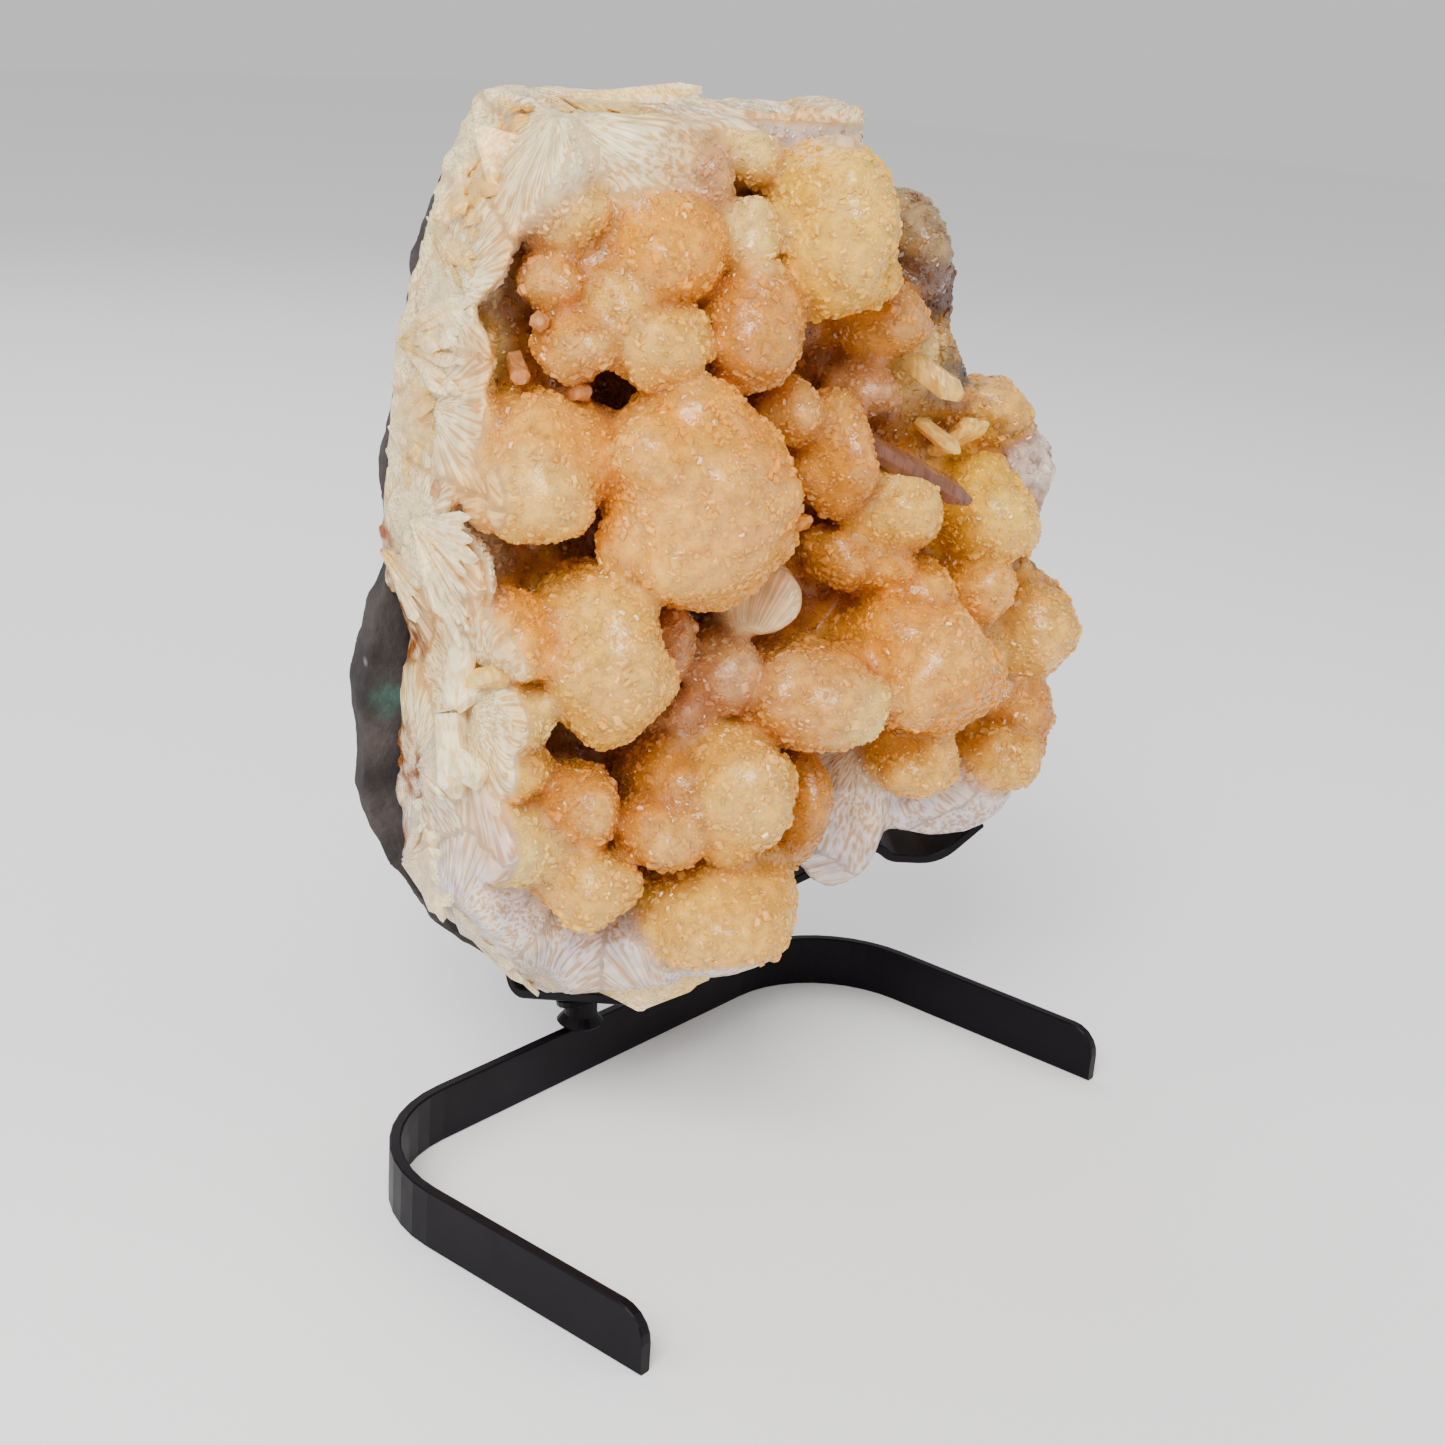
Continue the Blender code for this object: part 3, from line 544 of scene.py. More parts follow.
def relaxed(points, faces):
    """Points moved towards the middle of their neighbours."""
    total = np.zeros_like(points)
    count = np.zeros(len(points))
    for i in range(4):
        for j in (1, 3):
            np.add.at(total, faces[:, i], points[faces[:, (i + j) % 4]])
            np.add.at(count, faces[:, i], 1)
    return points * 0.4 + 0.6 * total / count[:, None]


def nearest_fan(points):
    """For each point its fan's number and its place seen from the fan's root."""
    best = np.full(len(points), FAR_AWAY)
    fan = np.zeros(len(points), int)
    for i, root in enumerate(FAN_ROOTS):
        far = np.linalg.norm(points - np.array(root, float), axis=1)
        closer = far < best
        best[closer] = far[closer]
        fan[closer] = i
    away = points - np.array(FAN_ROOTS, float)[fan]
    return fan, away


def stripes(points):
    """Values that hardly change along a fan's crystals and change fast across them."""
    fan, away = nearest_fan(points)
    way = away / np.maximum(np.linalg.norm(away, axis=1), 1e-6)[:, None]
    return way * 21 + fan[:, None] * 17.3


def grain_place(points, owner, broken):
    """Where a point lies across the crystals' ends: it stays the same along a crystal."""
    roots = np.array([lump[1] for lump in LUMPS], float)
    roots[:, 2] -= 16
    away = points - roots[owner]
    away /= np.maximum(np.linalg.norm(away, axis=1), 1e-6)[:, None]
    ball = away * 34 + owner[:, None] * 11.7
    return np.where(broken[:, None] > 0.5, stripes(points), ball)


def mixed(tint, colour, share):
    """The tints, turned towards one daylight colour by each point's share."""
    share = share[:, None]
    return tint * (1 - share) + linear(colour) * share


def shaded(points):
    """Each point's colour, how deep in a groove it is, its share of painted pit shade, how broken,
    and its lump.
    """
    distances = np.stack([lump_distance(points, lump) for lump in LUMPS])
    nearest = distances.min(axis=0)
    weights = np.exp(-(distances - nearest) / 1.6)
    weights /= weights.sum(axis=0)
    colours = np.array([linear(TINTS[lump[4]]) for lump in LUMPS])
    tint = weights.T @ colours
    parted = distances.copy()
    for names in GROWN_TOGETHER:
        small, large = (LUMP_NUMBER[name] for name in names)
        parted[small] = FAR_AWAY
        parted[large] = np.minimum(distances[small], distances[large])
    second = np.partition(parted, 1, axis=0)[1]
    # How far down in a groove between two lumps a point is, for the painted groove shade.
    crease = np.clip(1 - (second - nearest) / 6.0, 0, 1) * np.clip(1 - nearest / 8, 0, 1)
    pit_shade_share = np.clip((nearest - 4.0) / 3.0, 0, 1) * np.clip((16 - points[:, 2]) / 10, 0, 1)
    breaks = break_distance(points)
    broken = np.clip((breaks[:3].max(axis=0) + RIM_MARGIN) / 1.2, 0, 1)
    fibrous = np.array([FIBROUS.get(lump[0], 0.0) for lump in LUMPS])
    broken = np.maximum(broken, weights.T @ fibrous)
    owner = distances.argmin(axis=0)
    return tint, crease, pit_shade_share, broken, owner


def crust_tints(points):
    """Colour, brokenness and grain place of points on the crust."""
    tint, crease, pit_shade_share, broken, owner = shaded(points)
    shadow = np.array(PIT_SHADE)
    # Painted shade down in the pits between the lumps.
    tint = tint * (1 - pit_shade_share[:, None] * (1 - shadow))
    wall = 0.75 * np.clip((-12 - points[:, 2]) / 14, 0, 1) * (1 - broken)
    tint = mixed(tint, WALL_TINT, wall)
    # Painted shade: darker further back, where the crust is not broken.
    deep = (np.clip((10 - points[:, 2]) / 26, 0, 1) * (1 - broken))[:, None]
    tint = tint * (1 - 0.6 * deep * (1 - np.array(DEEP_SHADE)))
    # Painted shade in the grooves between the lumps.
    share = (0.72 * crease * (1 - broken))[:, None]
    tint = tint * (1 - share * (1 - shadow))
    patch = 1 + 0.16 * layered_noise(points, 11, 2, 73)[:, None] * np.array((0.25, 0.7, 1.3))
    tint = tint * patch
    frost = np.clip(0.5 * layered_noise(points, 26, 2, 87), 0, 0.22) * (1 - crease)
    tint = mixed(tint, FROST_TINT, frost)
    tint = tint * (1 - broken[:, None]) + rim_tints(points) * broken[:, None]
    right_edge = np.clip((points[:, 0] - 78) / 34, 0, 1) * np.clip((6 - points[:, 2]) / 12, 0, 1)
    above = np.clip((points[:, 0] - 30) / 14, 0, 1) * np.clip((points[:, 1] - 60) / 20, 0, 1)
    above = above * np.clip((24 - points[:, 2]) / 20, 0, 1)
    turned = points @ np.array(((0.8, 0.36, -0.48), (-0.6, 0.48, -0.64), (0, 0.8, 0.6)))
    specks = np.clip(layered_noise(turned, 3.0, 3, 81) * 1.8 - 0.25, 0, 1)
    specks = 0.8 * specks * np.maximum(right_edge, above) * (1 - broken)
    tint = mixed(tint, SPECK_TINT, specks)
    bare_middle, bare_half = BARE_ROCK
    away = np.linalg.norm((points - bare_middle) / bare_half, axis=1)
    rock = np.clip(1.4 - away, 0, 1) * np.clip(0.5 + 1.6 * layered_noise(points, 5, 2, 83), 0, 1)
    tint = mixed(tint, ROCK_TINT, np.clip(rock * 1.6, 0, 1))
    return np.clip(tint, 0.01, 1), broken, grain_place(points, owner, broken)


def rim_tints(points):
    """Pearly white near the fans' roots, warmer towards their ends, with rust by the rock, and
    painted shade in the grooves between fans and low down.
    """
    _, away = nearest_fan(points)
    far = np.linalg.norm(away, axis=1)
    tint = np.tile(linear(RIM_WHITE), (len(points), 1))
    roots = [np.array(root, float) for root in FAN_ROOTS]
    spans = np.stack([np.linalg.norm(points - root, axis=1) for root in roots])
    spans = np.partition(spans, 1, axis=0)[:2]
    # Painted shade in the grooves where two fans meet.
    groove_shade = np.clip(1 - (spans[1] - spans[0]) / 5, 0, 1)
    groove_shade = groove_shade * np.clip(0.7 + layered_noise(points, 8, 2, 79), 0, 1)
    tint = tint * (1 - groove_shade[:, None] * (1 - np.array(BORDER_SHADE)))
    warm = np.clip((far - 10) / 34, 0, 1)
    warm = warm * np.clip(0.55 + 0.7 * layered_noise(points, 20, 2, 71), 0, 1)
    tint = mixed(tint, RIM_WARM, warm)
    # Painted shade: cooler lavender grey low down on the rim where it faces down, and towards its
    # lower right.
    low_shade = np.clip((-60 - points[:, 1]) / 40, 0, 1)
    right_foot = np.clip((points[:, 0] - 50) / 20, 0, 1) * np.clip(-points[:, 1] / 60, 0, 1)
    low_shade = np.maximum(low_shade, right_foot)
    low_shade = low_shade * np.clip(0.8 + 0.4 * layered_noise(points, 9, 2, 75), 0, 1)
    tint = mixed(tint, RIM_LOW_SHADE, low_shade)
    patchy = np.clip(0.8 + 2.2 * layered_noise(points, 3.4, 2, 77), 0, 1)
    for place, width in RUST:
        near = np.linalg.norm(points - np.array(place, float), axis=1) / width
        stain = np.clip(2.2 - near, 0, 1) * patchy
        tint = mixed(tint, RUST_TINT, np.clip(stain, 0, 1))
    return tint


def scene_object(name, data):
    """A new object, put into the scene."""
    made = bpy.data.objects.new(name, data)
    bpy.context.scene.collection.objects.link(made)
    return made


def colour_layer(mesh, label, values):
    """Keeps one colour for each of the mesh's points."""
    layer = mesh.attributes.new(label, "FLOAT_COLOR", "POINT")
    filled = np.ones((len(values), 4), np.float32)
    filled[:, :3] = values
    layer.data.foreach_set("color", filled.ravel())


def mesh_object(name, points, faces, attributes, finish, smooth=True):
    """A mesh from points and faces in the stone's frame, with values for its material."""
    mesh = bpy.data.meshes.new(name)
    faces = np.asarray(faces)
    mesh.vertices.add(len(points))
    world = np.array(STONE_FRAME)
    placed = points @ world[:3, :3].T + world[:3, 3]
    mesh.vertices.foreach_set("co", placed.astype(np.float32).ravel())
    corners = faces.shape[1]
    mesh.loops.add(len(faces) * corners)
    mesh.loops.foreach_set("vertex_index", faces.astype(np.int32).ravel())
    mesh.polygons.add(len(faces))
    starts = np.arange(0, len(faces) * corners, corners, dtype=np.int32)
    mesh.polygons.foreach_set("loop_start", starts)
    mesh.polygons.foreach_set("use_smooth", np.full(len(faces), smooth))
    for label, values in attributes.items():
        if label == "place":
            layer = mesh.attributes.new(label, "FLOAT_VECTOR", "POINT")
            layer.data.foreach_set("vector", values.astype(np.float32).ravel())
        elif values.ndim == 2:
            colour_layer(mesh, label, values)
        else:
            layer = mesh.attributes.new(label, "FLOAT", "POINT")
            layer.data.foreach_set("value", values.astype(np.float32))
    mesh.update(calc_edges=True)
    mesh.validate()
    mesh.materials.append(finish)
    return scene_object(name, mesh)


def node(tree, kind, **values):
    """A new node with some of its properties set."""
    made = tree.nodes.new(kind)
    for key, value in values.items():
        setattr(made, key, value)
    return made


def ranged(tree, source, low, high, start=0.0, stop=1.0):
    """The source's values from start to stop, turned into low to high."""
    made = node(tree, "ShaderNodeMapRange")
    made.inputs["From Min"].default_value = start
    made.inputs["From Max"].default_value = stop
    made.inputs["To Min"].default_value = low
    made.inputs["To Max"].default_value = high
    tree.links.new(source, made.inputs["Value"])
    return made.outputs["Result"]


def noise(tree, source, scale, detail):
    """A noise texture over the source's coordinates."""
    made = node(tree, "ShaderNodeTexNoise")
    made.inputs["Scale"].default_value = scale
    made.inputs["Detail"].default_value = detail
    tree.links.new(source, made.inputs["Vector"])
    return made


def two_shades(tree, factor, low, high):
    """From one shade to the other by the factor."""
    made = node(tree, "ShaderNodeMix", data_type="RGBA")
    made.inputs["A"].default_value = (*low, 1)
    made.inputs["B"].default_value = (*high, 1)
    tree.links.new(factor, made.inputs["Factor"])
    return made.outputs["Result"]


def product(tree, first, second):
    """Two colours, or a colour and a number, multiplied."""
    made = node(tree, "ShaderNodeVectorMath", operation="MULTIPLY")
    tree.links.new(first, made.inputs[0])
    tree.links.new(second, made.inputs[1])
    return made.outputs[0]


def new_finish(name):
    """A new material, with its node tree and shader."""
    made = bpy.data.materials.new(name)
    made.use_nodes = True
    return made, made.node_tree, made.node_tree.nodes["Principled BSDF"]


def crystal_finish(name, softness):
    """Waxy, slightly see-through stilbite: fine crystal ends, and silky stripes where broken."""
    made, tree, shader = new_finish(name)
    link = tree.links.new
    tint = node(tree, "ShaderNodeAttribute", attribute_name="tint")
    broken = node(tree, "ShaderNodeAttribute", attribute_name="broken")
    along = node(tree, "ShaderNodeAttribute", attribute_name="place")
    place = node(tree, "ShaderNodeTexCoord")
    cloud = noise(tree, place.outputs["Object"], 240, 0)
    fibre = noise(tree, along.outputs["Vector"], 1.1, 1)
    fibre.inputs["Roughness"].default_value = 0.6
    striped = ranged(tree, fibre.outputs["Fac"], 0.0, 1.0, 0.4, 0.56)
    chosen = node(tree, "ShaderNodeMix", data_type="RGBA")
    link(broken.outputs["Fac"], chosen.inputs["Factor"])
    link(two_shades(tree, striped, *FAINT_STRIPES), chosen.inputs["A"])
    link(two_shades(tree, striped, *STRONG_STRIPES), chosen.inputs["B"])
    toned = product(tree, tint.outputs["Color"], chosen.outputs["Result"])
    mottle = ranged(tree, cloud.outputs["Fac"], 0.86, 1.1, 0.3, 0.7)
    link(product(tree, toned, mottle), shader.inputs["Base Color"])
    ridged = node(tree, "ShaderNodeBump")
    relief = ranged(tree, broken.outputs["Fac"], 0.28, 0.7)
    link(relief, ridged.inputs["Strength"])
    ridged.inputs["Distance"].default_value = 0.0011
    link(fibre.outputs["Fac"], ridged.inputs["Height"])
    link(ridged.outputs["Normal"], shader.inputs["Normal"])
    cell = node(tree, "ShaderNodeVectorMath", operation="FLOOR")
    link(along.outputs["Vector"], cell.inputs[0])
    one = node(tree, "ShaderNodeTexWhiteNoise")
    link(cell.outputs[0], one.inputs["Vector"])
    link(ranged(tree, one.outputs["Value"], 0.08, 0.5), shader.inputs["Roughness"])
    shader.subsurface_method = "BURLEY"
    soft = ranged(tree, broken.outputs["Fac"], softness, 0.45 * softness)
    link(soft, shader.inputs["Subsurface Weight"])
    shader.inputs["Subsurface Radius"].default_value = (1.0, 0.55, 0.25)
    shader.inputs["Subsurface Scale"].default_value = 0.009
    shader.inputs["Coat Weight"].default_value = 0.22
    shader.inputs["Coat Roughness"].default_value = 0.16
    link(ridged.outputs["Normal"], shader.inputs["Coat Normal"])
    shader.inputs["Specular IOR Level"].default_value = 0.5
    return made


def floor_finish():
    """A dull, plain pale surface."""
    made, _, shader = new_finish("floor white")
    shader.inputs["Base Color"].default_value = (*linear((250, 250, 250)), 1)
    shader.inputs["Roughness"].default_value = 0.9
    return made


def iron_finish():
    """Satin black paint, a little purple, with a faint brushed-on unevenness."""
    made, tree, shader = new_finish("black iron")
    link = tree.links.new
    shader.inputs["Base Color"].default_value = (*linear((8, 4, 10)), 1)
    place = node(tree, "ShaderNodeTexCoord")
    uneven = noise(tree, place.outputs["Object"], 90, 2)
    shader.inputs["Specular IOR Level"].default_value = 0.13
    link(ranged(tree, uneven.outputs["Fac"], 0.34, 0.52), shader.inputs["Roughness"])
    bump = node(tree, "ShaderNodeBump")
    bump.inputs["Strength"].default_value = 0.12
    bump.inputs["Distance"].default_value = 0.0004
    link(uneven.outputs["Fac"], bump.inputs["Height"])
    link(bump.outputs["Normal"], shader.inputs["Normal"])
    return made


def basalt_finish():
    """Dull dark rock with a fine, pitted grain."""
    made, tree, shader = new_finish("basalt")
    link = tree.links.new
    tint = node(tree, "ShaderNodeAttribute", attribute_name="tint")
    place = node(tree, "ShaderNodeTexCoord")
    grain = noise(tree, place.outputs["Object"], 420, 4)
    spread = ranged(tree, grain.outputs["Fac"], 0.6, 1.4)
    link(product(tree, tint.outputs["Color"], spread), shader.inputs["Base Color"])
    bump = node(tree, "ShaderNodeBump")
    bump.inputs["Strength"].default_value = 0.7
    bump.inputs["Distance"].default_value = 0.0012
    link(grain.outputs["Fac"], bump.inputs["Height"])
    link(bump.outputs["Normal"], shader.inputs["Normal"])
    shader.inputs["Roughness"].default_value = 0.88
    return made


def crust_surface():
    """The crust's own surface, swelling and dipping a little everywhere."""
    values = field_values()
    points, faces = surface_of(values, FIELD_LOW, FIELD_STEP)
    points = relaxed(points, faces)
    normals = point_normals(points, faces)
    inner = np.clip(-break_distance(points).max(axis=0) / 8, 0, 1)
    bundles = 0.4 * layered_noise(points, 5, 2, 91)
    swell = 1.5 * layered_noise(points, 17, 2, 95)
    ridges = 0.5 * smooth_noise(stripes(points), 2.2, 51)
    fibrous = shaded(points)[3]
    smooth = inner * (1 - 0.7 * fibrous)
    height = smooth * (bundles + swell) + np.maximum(1 - inner, fibrous) * ridges
    height[points[:, 2] < CRUST_BACK + 1.5] = 0
    return points + normals * height[:, None], faces


def crystal_tips(points, faces, count, seed):
    """Fine crystal ends standing out of the surface, as one mesh of triangles."""
    rng = np.random.default_rng(seed)
    across = face_normals(points, faces) / 2
    area = np.linalg.norm(across, axis=1)
    normal = across / np.maximum(area, 1e-9)[:, None]
    middle = points[faces].mean(axis=1)
    weight = area.copy()
    weight[break_distance(middle).max(axis=0) > -RIM_MARGIN] = 0
    weight[middle[:, 2] < CRUST_BACK + 10] *= 0.3
    chosen = rng.choice(len(faces), size=count, p=weight / weight.sum())
    mix = rng.dirichlet((1, 1, 1, 1), size=count)
    spots = np.einsum("ij,ijk->ik", mix, points[faces[chosen]])
    normals = normal[chosen]
    distances = np.stack([lump_distance(spots, lump) for lump in LUMPS])
    owner = distances.argmin(axis=0)
    keep = np.array([lump[0] not in FIBROUS for lump in LUMPS])[owner]
    spots, normals, owner = spots[keep], normals[keep], owner[keep]
    count = len(spots)
    roots = np.array([lump[1] for lump in LUMPS], float) - np.array((0, 0, 8.0))
    radial = spots - roots[owner]
    radial /= np.maximum(np.linalg.norm(radial, axis=1, keepdims=True), 1e-9)
    ways = normals * 0.7 + radial * 0.5 + rng.normal(0, 0.22, (count, 3))
    ways /= np.linalg.norm(ways, axis=1, keepdims=True)
    turn = rng.normal(0, 1, (count, 3))
    side = np.cross(ways, turn)
    side /= np.linalg.norm(side, axis=1, keepdims=True)
    thick = np.cross(ways, side)
    size = rng.gamma(4.0, 0.155, count).clip(0.3, 1.7)[:, None]
    depth = size * rng.uniform(0.45, 0.85, (count, 1))
    height = size * rng.uniform(0.35, 0.9, (count, 1))
    base = spots - ways * 0.7
    shoulder = spots + ways * height * 0.35
    top = spots + ways * height
    rows = [
        base + side * size - thick * depth, base + side * size + thick * depth,
        base - side * size + thick * depth, base - side * size - thick * depth,
        shoulder + side * size - thick * depth, shoulder + side * size + thick * depth,
        shoulder - side * size + thick * depth, shoulder - side * size - thick * depth,
        top + side * size * 0.6, top - side * size * 0.6,
    ]
    shape = np.stack(rows, axis=1).reshape(-1, 3)
    pattern = np.array([
        (0, 1, 5), (0, 5, 4), (1, 2, 6), (1, 6, 5), (2, 3, 7), (2, 7, 6), (3, 0, 4), (3, 4, 7),
        (4, 5, 8), (6, 7, 9), (5, 6, 9), (5, 9, 8), (7, 4, 8), (7, 8, 9),
    ])
    starts = np.arange(count)[:, None, None] * TIP_CORNERS
    triangles = (pattern[None] + starts).reshape(-1, 3)
    return shape, triangles, spots


def build_crystals(finish, ends_finish):
    """The crust and the crystal ends that stand on it."""
    points, faces = crust_surface()
    tint, broken, place = crust_tints(points)
    values = {"tint": tint, "broken": broken, "place": place}
    pieces = [mesh_object("crust", points, faces, values, finish)]
    for part in range(3):
        shape, triangles, spots = crystal_tips(points, faces, TIPS_EACH, 100 + part)
        tint, broken, place = crust_tints(spots)
        rng = np.random.default_rng(300 + part)
        tone = rng.normal(1.02, 0.06, (len(spots), 1)).clip(0.85, 1.25)
        # Painted shade at each crystal end's foot, and its frosted top.
        height = np.array(TIP_FOOT_SHADE_AND_FROST)[None, :, :]
        values = {
            "tint": np.clip((tint * tone)[:, None, :] * height, 0, 1).reshape(-1, 3),
            "broken": np.repeat(broken, TIP_CORNERS),
            "place": np.repeat(place, TIP_CORNERS, axis=0),
        }
        name = f"crystal_tips_{part + 1}"
        pieces.append(mesh_object(name, shape, triangles, values, ends_finish, smooth=False))
    return pieces


def blade_mesh(root, way, length, width, thickness, rng):
    """A flat crystal with bevelled edges and a wedge-shaped tip."""
    way = Vector(way).normalized()
    side = way.cross(Vector((0.2, 1, 0.1))).normalized()
    side = Matrix.Rotation(rng.uniform(-0.4, 0.4), 3, way) @ side
    thick = way.cross(side)
    w, t = width / 2, thickness / 2
    section = [(-w, 0), (-w * 0.7, -t), (w * 0.7, -t), (w, 0), (w * 0.7, t), (-w * 0.7, t)]
    points = []
    for along, narrow in ((0, 0.85), (length * 0.82, 1.0), (length, 0.42)):
        centre = Vector(root) + way * along
        for a, b in section:
            points.append(centre + side * a * narrow + thick * b * narrow)
    faces = []
    for ring in range(2):
        for i in range(6):
            j = (i + 1) % 6
            faces.append((ring * 6 + i, ring * 6 + j, ring * 6 + 6 + j, ring * 6 + 6 + i))
    faces.append((12, 13, 16, 17))
    faces.append((13, 14, 15, 16))
    return np.array(points), np.array(faces)


def gathered(parts):
    """Several crystals' points, faces and tints as one set."""
    points, faces, tints = [], [], []
    for at, around, tint in parts:
        faces.append(around + sum(len(p) for p in points))
        points.append(at)
        tints.append(tint)
    return np.concatenate(points), np.concatenate(faces), np.concatenate(tints)


def build_blades(finish):
    """The loose flat crystals, as one piece."""
    rng = np.random.default_rng(17)
    parts = []
    for _, root, way, length, width, thickness, tint in BLADES:
        at, around = blade_mesh(root, way, length, width, thickness, rng)
        parts.append((at, around, np.tile(linear(TINTS[tint]), (len(at), 1))))
    points, faces, tints = gathered(parts)
    values = {
        "tint": tints,
        "broken": np.full(len(points), 0.5),
        "place": points / (1.5, 6.0, 6.0),
    }
    return mesh_object("blades", points, faces, values, finish, smooth=False)


def break_normal(point):
    """Which way the nearest break faces at a point."""
    steps = np.array(point, float) + 0.5 * np.vstack((np.eye(3), -np.eye(3)))
    value = break_distance(steps)[:3].max(axis=0)
    normal = value[:3] - value[3:]
    return normal / np.linalg.norm(normal)


def fan_blades(fan, rng):
    """The blades of one fan: thin at its root, wide and pointed at its edge."""
    root, towards, spread, count, tint, end_tint, *facing = fan
    root = np.array(root, float)
    reach = np.array(towards, float) - root
    if facing:
        normal = np.array(facing[0], float) / np.linalg.norm(facing[0])
    else:
        normal = break_normal(root + reach * 0.5)
        root = root - normal * break_distance(root[None])[:3].max()
    middle = reach - normal * (reach @ normal)
    length = np.linalg.norm(middle)
    middle = middle / length
    side = np.cross(normal, middle)
    points, faces, tints = [], [], []
    for number in range(count):
        angle = math.radians(spread * ((number + 0.5) / count - 0.5) + rng.normal(0, 1.2))
        way = middle * math.cos(angle) + side * math.sin(angle)
        across = np.cross(normal, way) + normal * rng.normal(0, 0.35)
        across = across / np.linalg.norm(across)
        far = length * rng.uniform(0.72, 1.06) * (1 - 0.3 * (angle / 1.2) ** 2)
        wide = far * math.radians(spread) / count * rng.uniform(0.6, 0.95)
        lift = rng.uniform(-0.5, 0.4)
        start = len(points)
        for share, width, rise in BLADE_RINGS:
            at = root + way * far * share + normal * (lift + rise)
            if not facing:
                at = at - normal * max(fan_steps(at[None])[0] - 0.4, -0.4)
            half = wide * width
            thick = 0.5 + 1.1 * width
            points += [at - across * half, at + normal * thick * 0.55]
            points += [at + across * half, at - normal * thick]
            tone = 0.9 + 0.16 * rng.random()
            colour = linear(TINTS[tint]) * (1 - share) + linear(TINTS[end_tint]) * share
            tints += [colour * tone] * 4
        for ring in range(3):
            for i in range(4):
                j = (i + 1) % 4
                low = start + ring * 4
                faces.append((low + i, low + j, low + 4 + j, low + 4 + i))
        faces.append((start + 12, start + 13, start + 14, start + 15))
        faces.append((start + 3, start + 2, start + 1, start))
    return np.array(points), np.array(faces), np.array(tints)


def build_fans(finish):
    """The fans of blades in the breaks, as one piece."""
    rng = np.random.default_rng(59)
    points, faces, tints = gathered(fan_blades(fan, rng) for fan in FANS)
    values = {
        "tint": np.clip(tints, 0.01, 1),
        "broken": np.full(len(points), 0.55),
        "place": stripes(points),
    }
    return mesh_object("rim_fans", points, faces, values, finish, smooth=False)


def build_rock(finish, shape_of):
    """The dark rock with a rough, pitted skin over the solid's shape."""
    copy = scene_object("rock_source", shape_of.data.copy())
    remesh = copy.modifiers.new("even", "REMESH")
    remesh.mode = "VOXEL"
    remesh.voxel_size = ROCK_STEP * MM
    bpy.context.view_layer.update()
    seen = copy.evaluated_get(bpy.context.evaluated_depsgraph_get())
    mesh = bpy.data.meshes.new_from_object(seen)
    bpy.data.objects.remove(copy, do_unlink=True)
    points = np.empty(len(mesh.vertices) * 3, np.float32)
    mesh.vertices.foreach_get("co", points)
    normals = np.empty(len(mesh.vertices) * 3, np.float32)
    mesh.vertices.foreach_get("normal", normals)
    points = points.reshape(-1, 3).astype(float)
    normals = normals.reshape(-1, 3).astype(float)
    back = np.array(STONE_FRAME.inverted())
    local = points @ back[:3, :3].T + back[:3, 3]
    rough = 1.3 * layered_noise(local, 24, 2, 201) + 0.6 * layered_noise(local, 6, 3, 203)
    pits = np.clip(layered_noise(local, 5, 2, 207) - 0.55, 0, 1)
    rough = rough - 1.6 * pits - 0.5
    under_crust = local[:, 2] > CRUST_BACK - 2
    rough[under_crust] = np.minimum(rough[under_crust], -0.4)
    points += normals * (rough * MM)[:, None]
    mesh.vertices.foreach_set("co", points.astype(np.float32).ravel())
    share = np.clip(0.5 + 0.6 * layered_noise(local, 14, 3, 211), 0, 1)
    tint = mixed(linear(ROCK_DARK), ROCK_LIGHTER, share)
    spots = smooth_noise(local, 3.2, 215) + 0.3 * smooth_noise(local, 40, 217)
    tint = mixed(tint, ROCK_SPOT, np.clip((spots - 0.84) * 8, 0, 1))
    middle, half = TEAL_PATCH
    teal = np.clip(1.2 - np.linalg.norm((local - middle) / half, axis=1), 0, 0.7)
    teal = np.clip(teal * 1.4, 0, 1) * np.clip(0.6 + layered_noise(local, 5, 2, 219), 0, 1)
    tint = mixed(tint, ROCK_TEAL, teal)
    colour_layer(mesh, "tint", tint)
    mesh.materials.clear()
    mesh.materials.append(finish)
    mesh.polygons.foreach_set("use_smooth", np.full(len(mesh.polygons), True))
    mesh.update()
    return scene_object("basalt_rock", mesh)


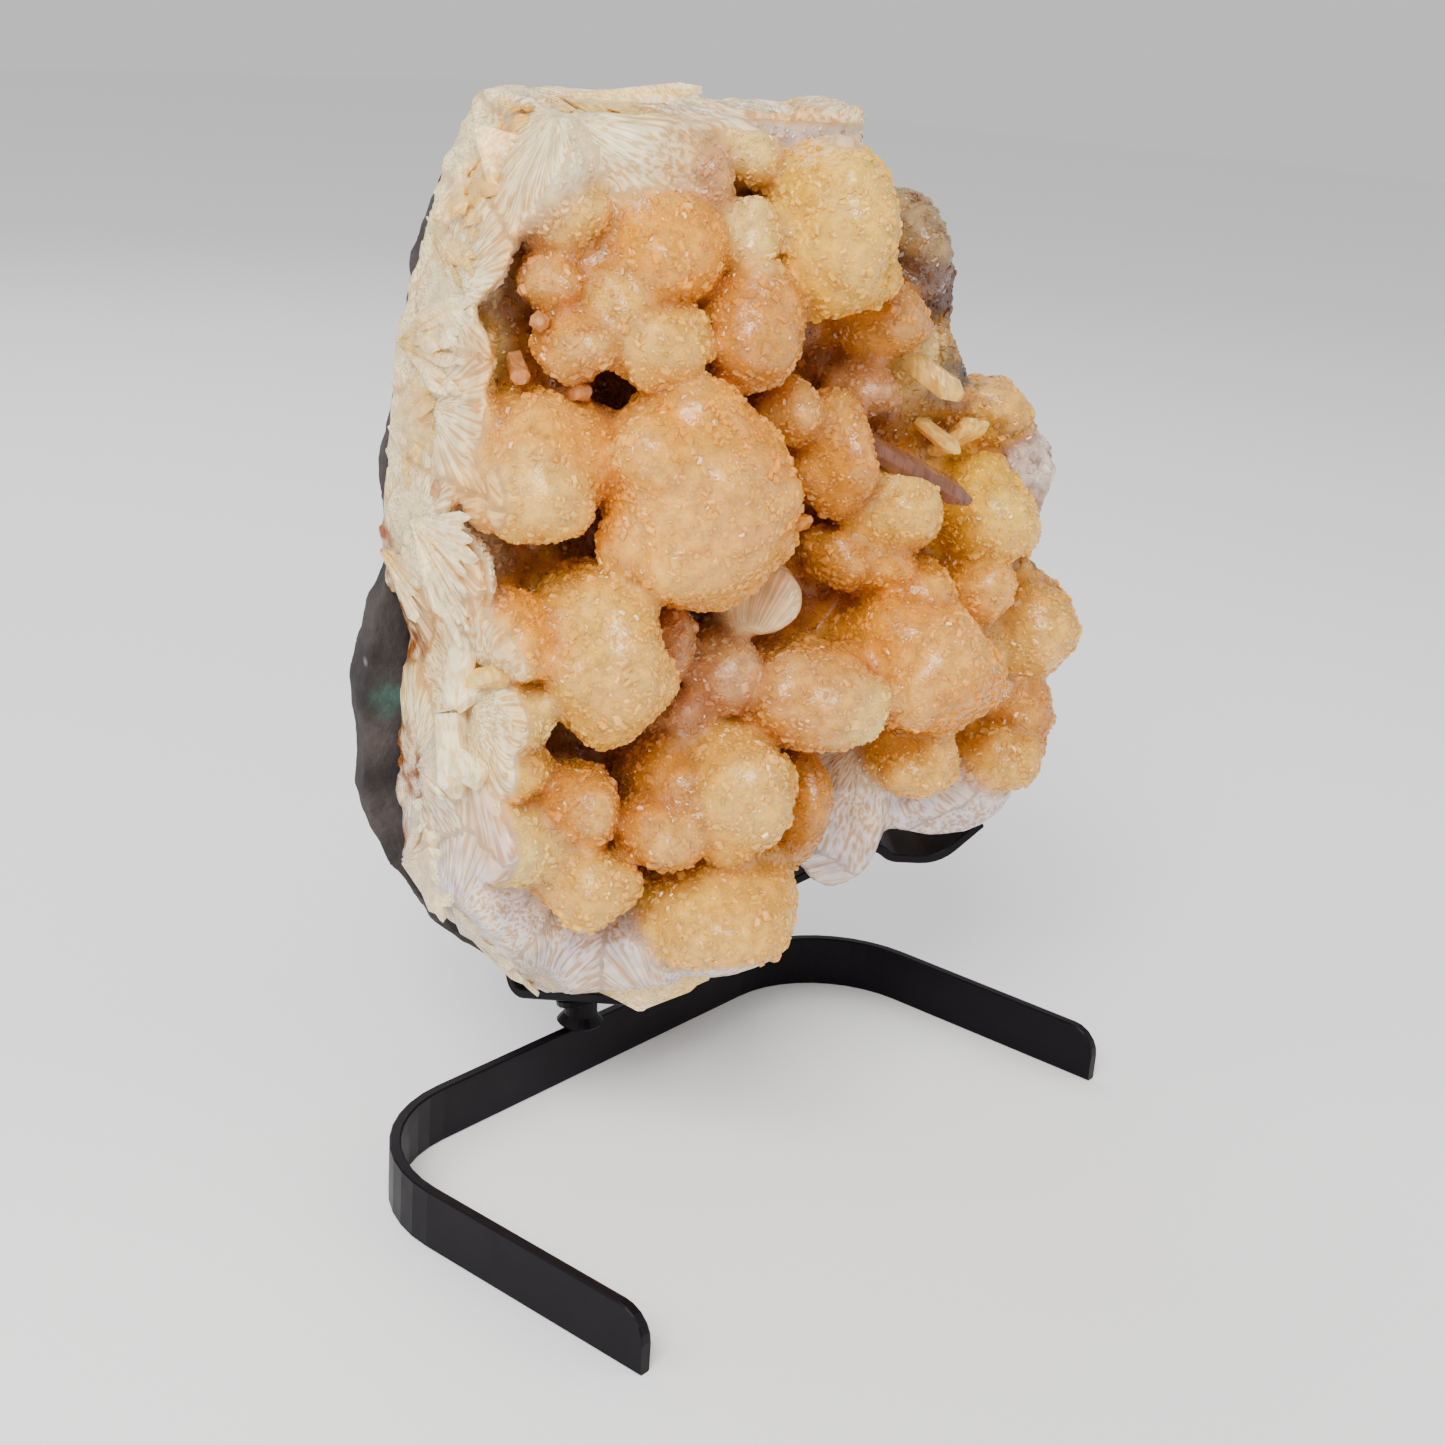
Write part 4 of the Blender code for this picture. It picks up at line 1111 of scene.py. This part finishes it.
def build_stage():
    """A plain pale floor, an even sky and soft lights."""
    floor_mesh = bpy.data.meshes.new("floor")
    w = FLOOR_HALF
    floor_mesh.from_pydata([(-w, -w, 0), (w, -w, 0), (w, w, 0), (-w, w, 0)], [], [(0, 1, 2, 3)])
    floor = scene_object("floor", floor_mesh)
    floor.data.materials.append(floor_finish())
    world = bpy.data.worlds.new("studio")
    bpy.context.scene.world = world
    world.use_nodes = True
    sky = world.node_tree.nodes["Background"]
    sky.inputs["Color"].default_value = SKY_COLOUR
    sky.inputs["Strength"].default_value = SKY_STRENGTH
    for name, place, size, power in LIGHTS:
        light = bpy.data.lights.new(name, "AREA")
        light.size = size
        light.energy = power
        lamp = scene_object(name, light)
        lamp.location = place
        lamp.rotation_euler = (Vector(LIT) - Vector(place)).to_track_quat("-Z", "Y").to_euler()


def build_camera():
    """The camera where the photograph was taken from."""
    yaw, pitch, roll = (math.radians(angle) for angle in CAMERA_ANGLES)
    level = math.cos(pitch)
    forward = Vector((math.sin(yaw) * level, math.cos(yaw) * level, -math.sin(pitch)))
    right = Vector((math.cos(yaw), -math.sin(yaw), 0))
    up = right.cross(forward)
    image_right = right * math.cos(roll) + up * math.sin(roll)
    image_up = up * math.cos(roll) - right * math.sin(roll)
    turn = Matrix((image_right, image_up, -forward)).transposed().to_4x4()
    lens = bpy.data.cameras.new("camera")
    lens.lens = LENS
    lens.sensor_width = 36
    camera = scene_object("camera", lens)
    camera.matrix_world = Matrix.Translation(CAMERA_PLACE) @ turn
    bpy.context.scene.camera = camera


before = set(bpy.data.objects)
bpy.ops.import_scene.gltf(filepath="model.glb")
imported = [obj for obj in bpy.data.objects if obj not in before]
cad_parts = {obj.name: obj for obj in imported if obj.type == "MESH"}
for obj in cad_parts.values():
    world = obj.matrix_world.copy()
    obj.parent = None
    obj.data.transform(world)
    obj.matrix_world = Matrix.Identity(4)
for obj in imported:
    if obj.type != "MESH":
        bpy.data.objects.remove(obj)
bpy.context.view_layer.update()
stilbite = crystal_finish("stilbite", 0.85)
ends = crystal_finish("stilbite ends", 0.15)
iron = iron_finish()
crystals = build_crystals(stilbite, ends) + [build_blades(stilbite), build_fans(stilbite)]
for piece in crystals:
    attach(piece, "root")
    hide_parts("stilbite_crystals")
rock = build_rock(basalt_finish(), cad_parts["basalt_matrix"])
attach(rock, "root")
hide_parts("basalt_matrix")
for name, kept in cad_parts.items():
    if name.startswith("stand_"):
        kept.data.materials.clear()
        kept.data.materials.append(iron)
build_stage()
build_camera()
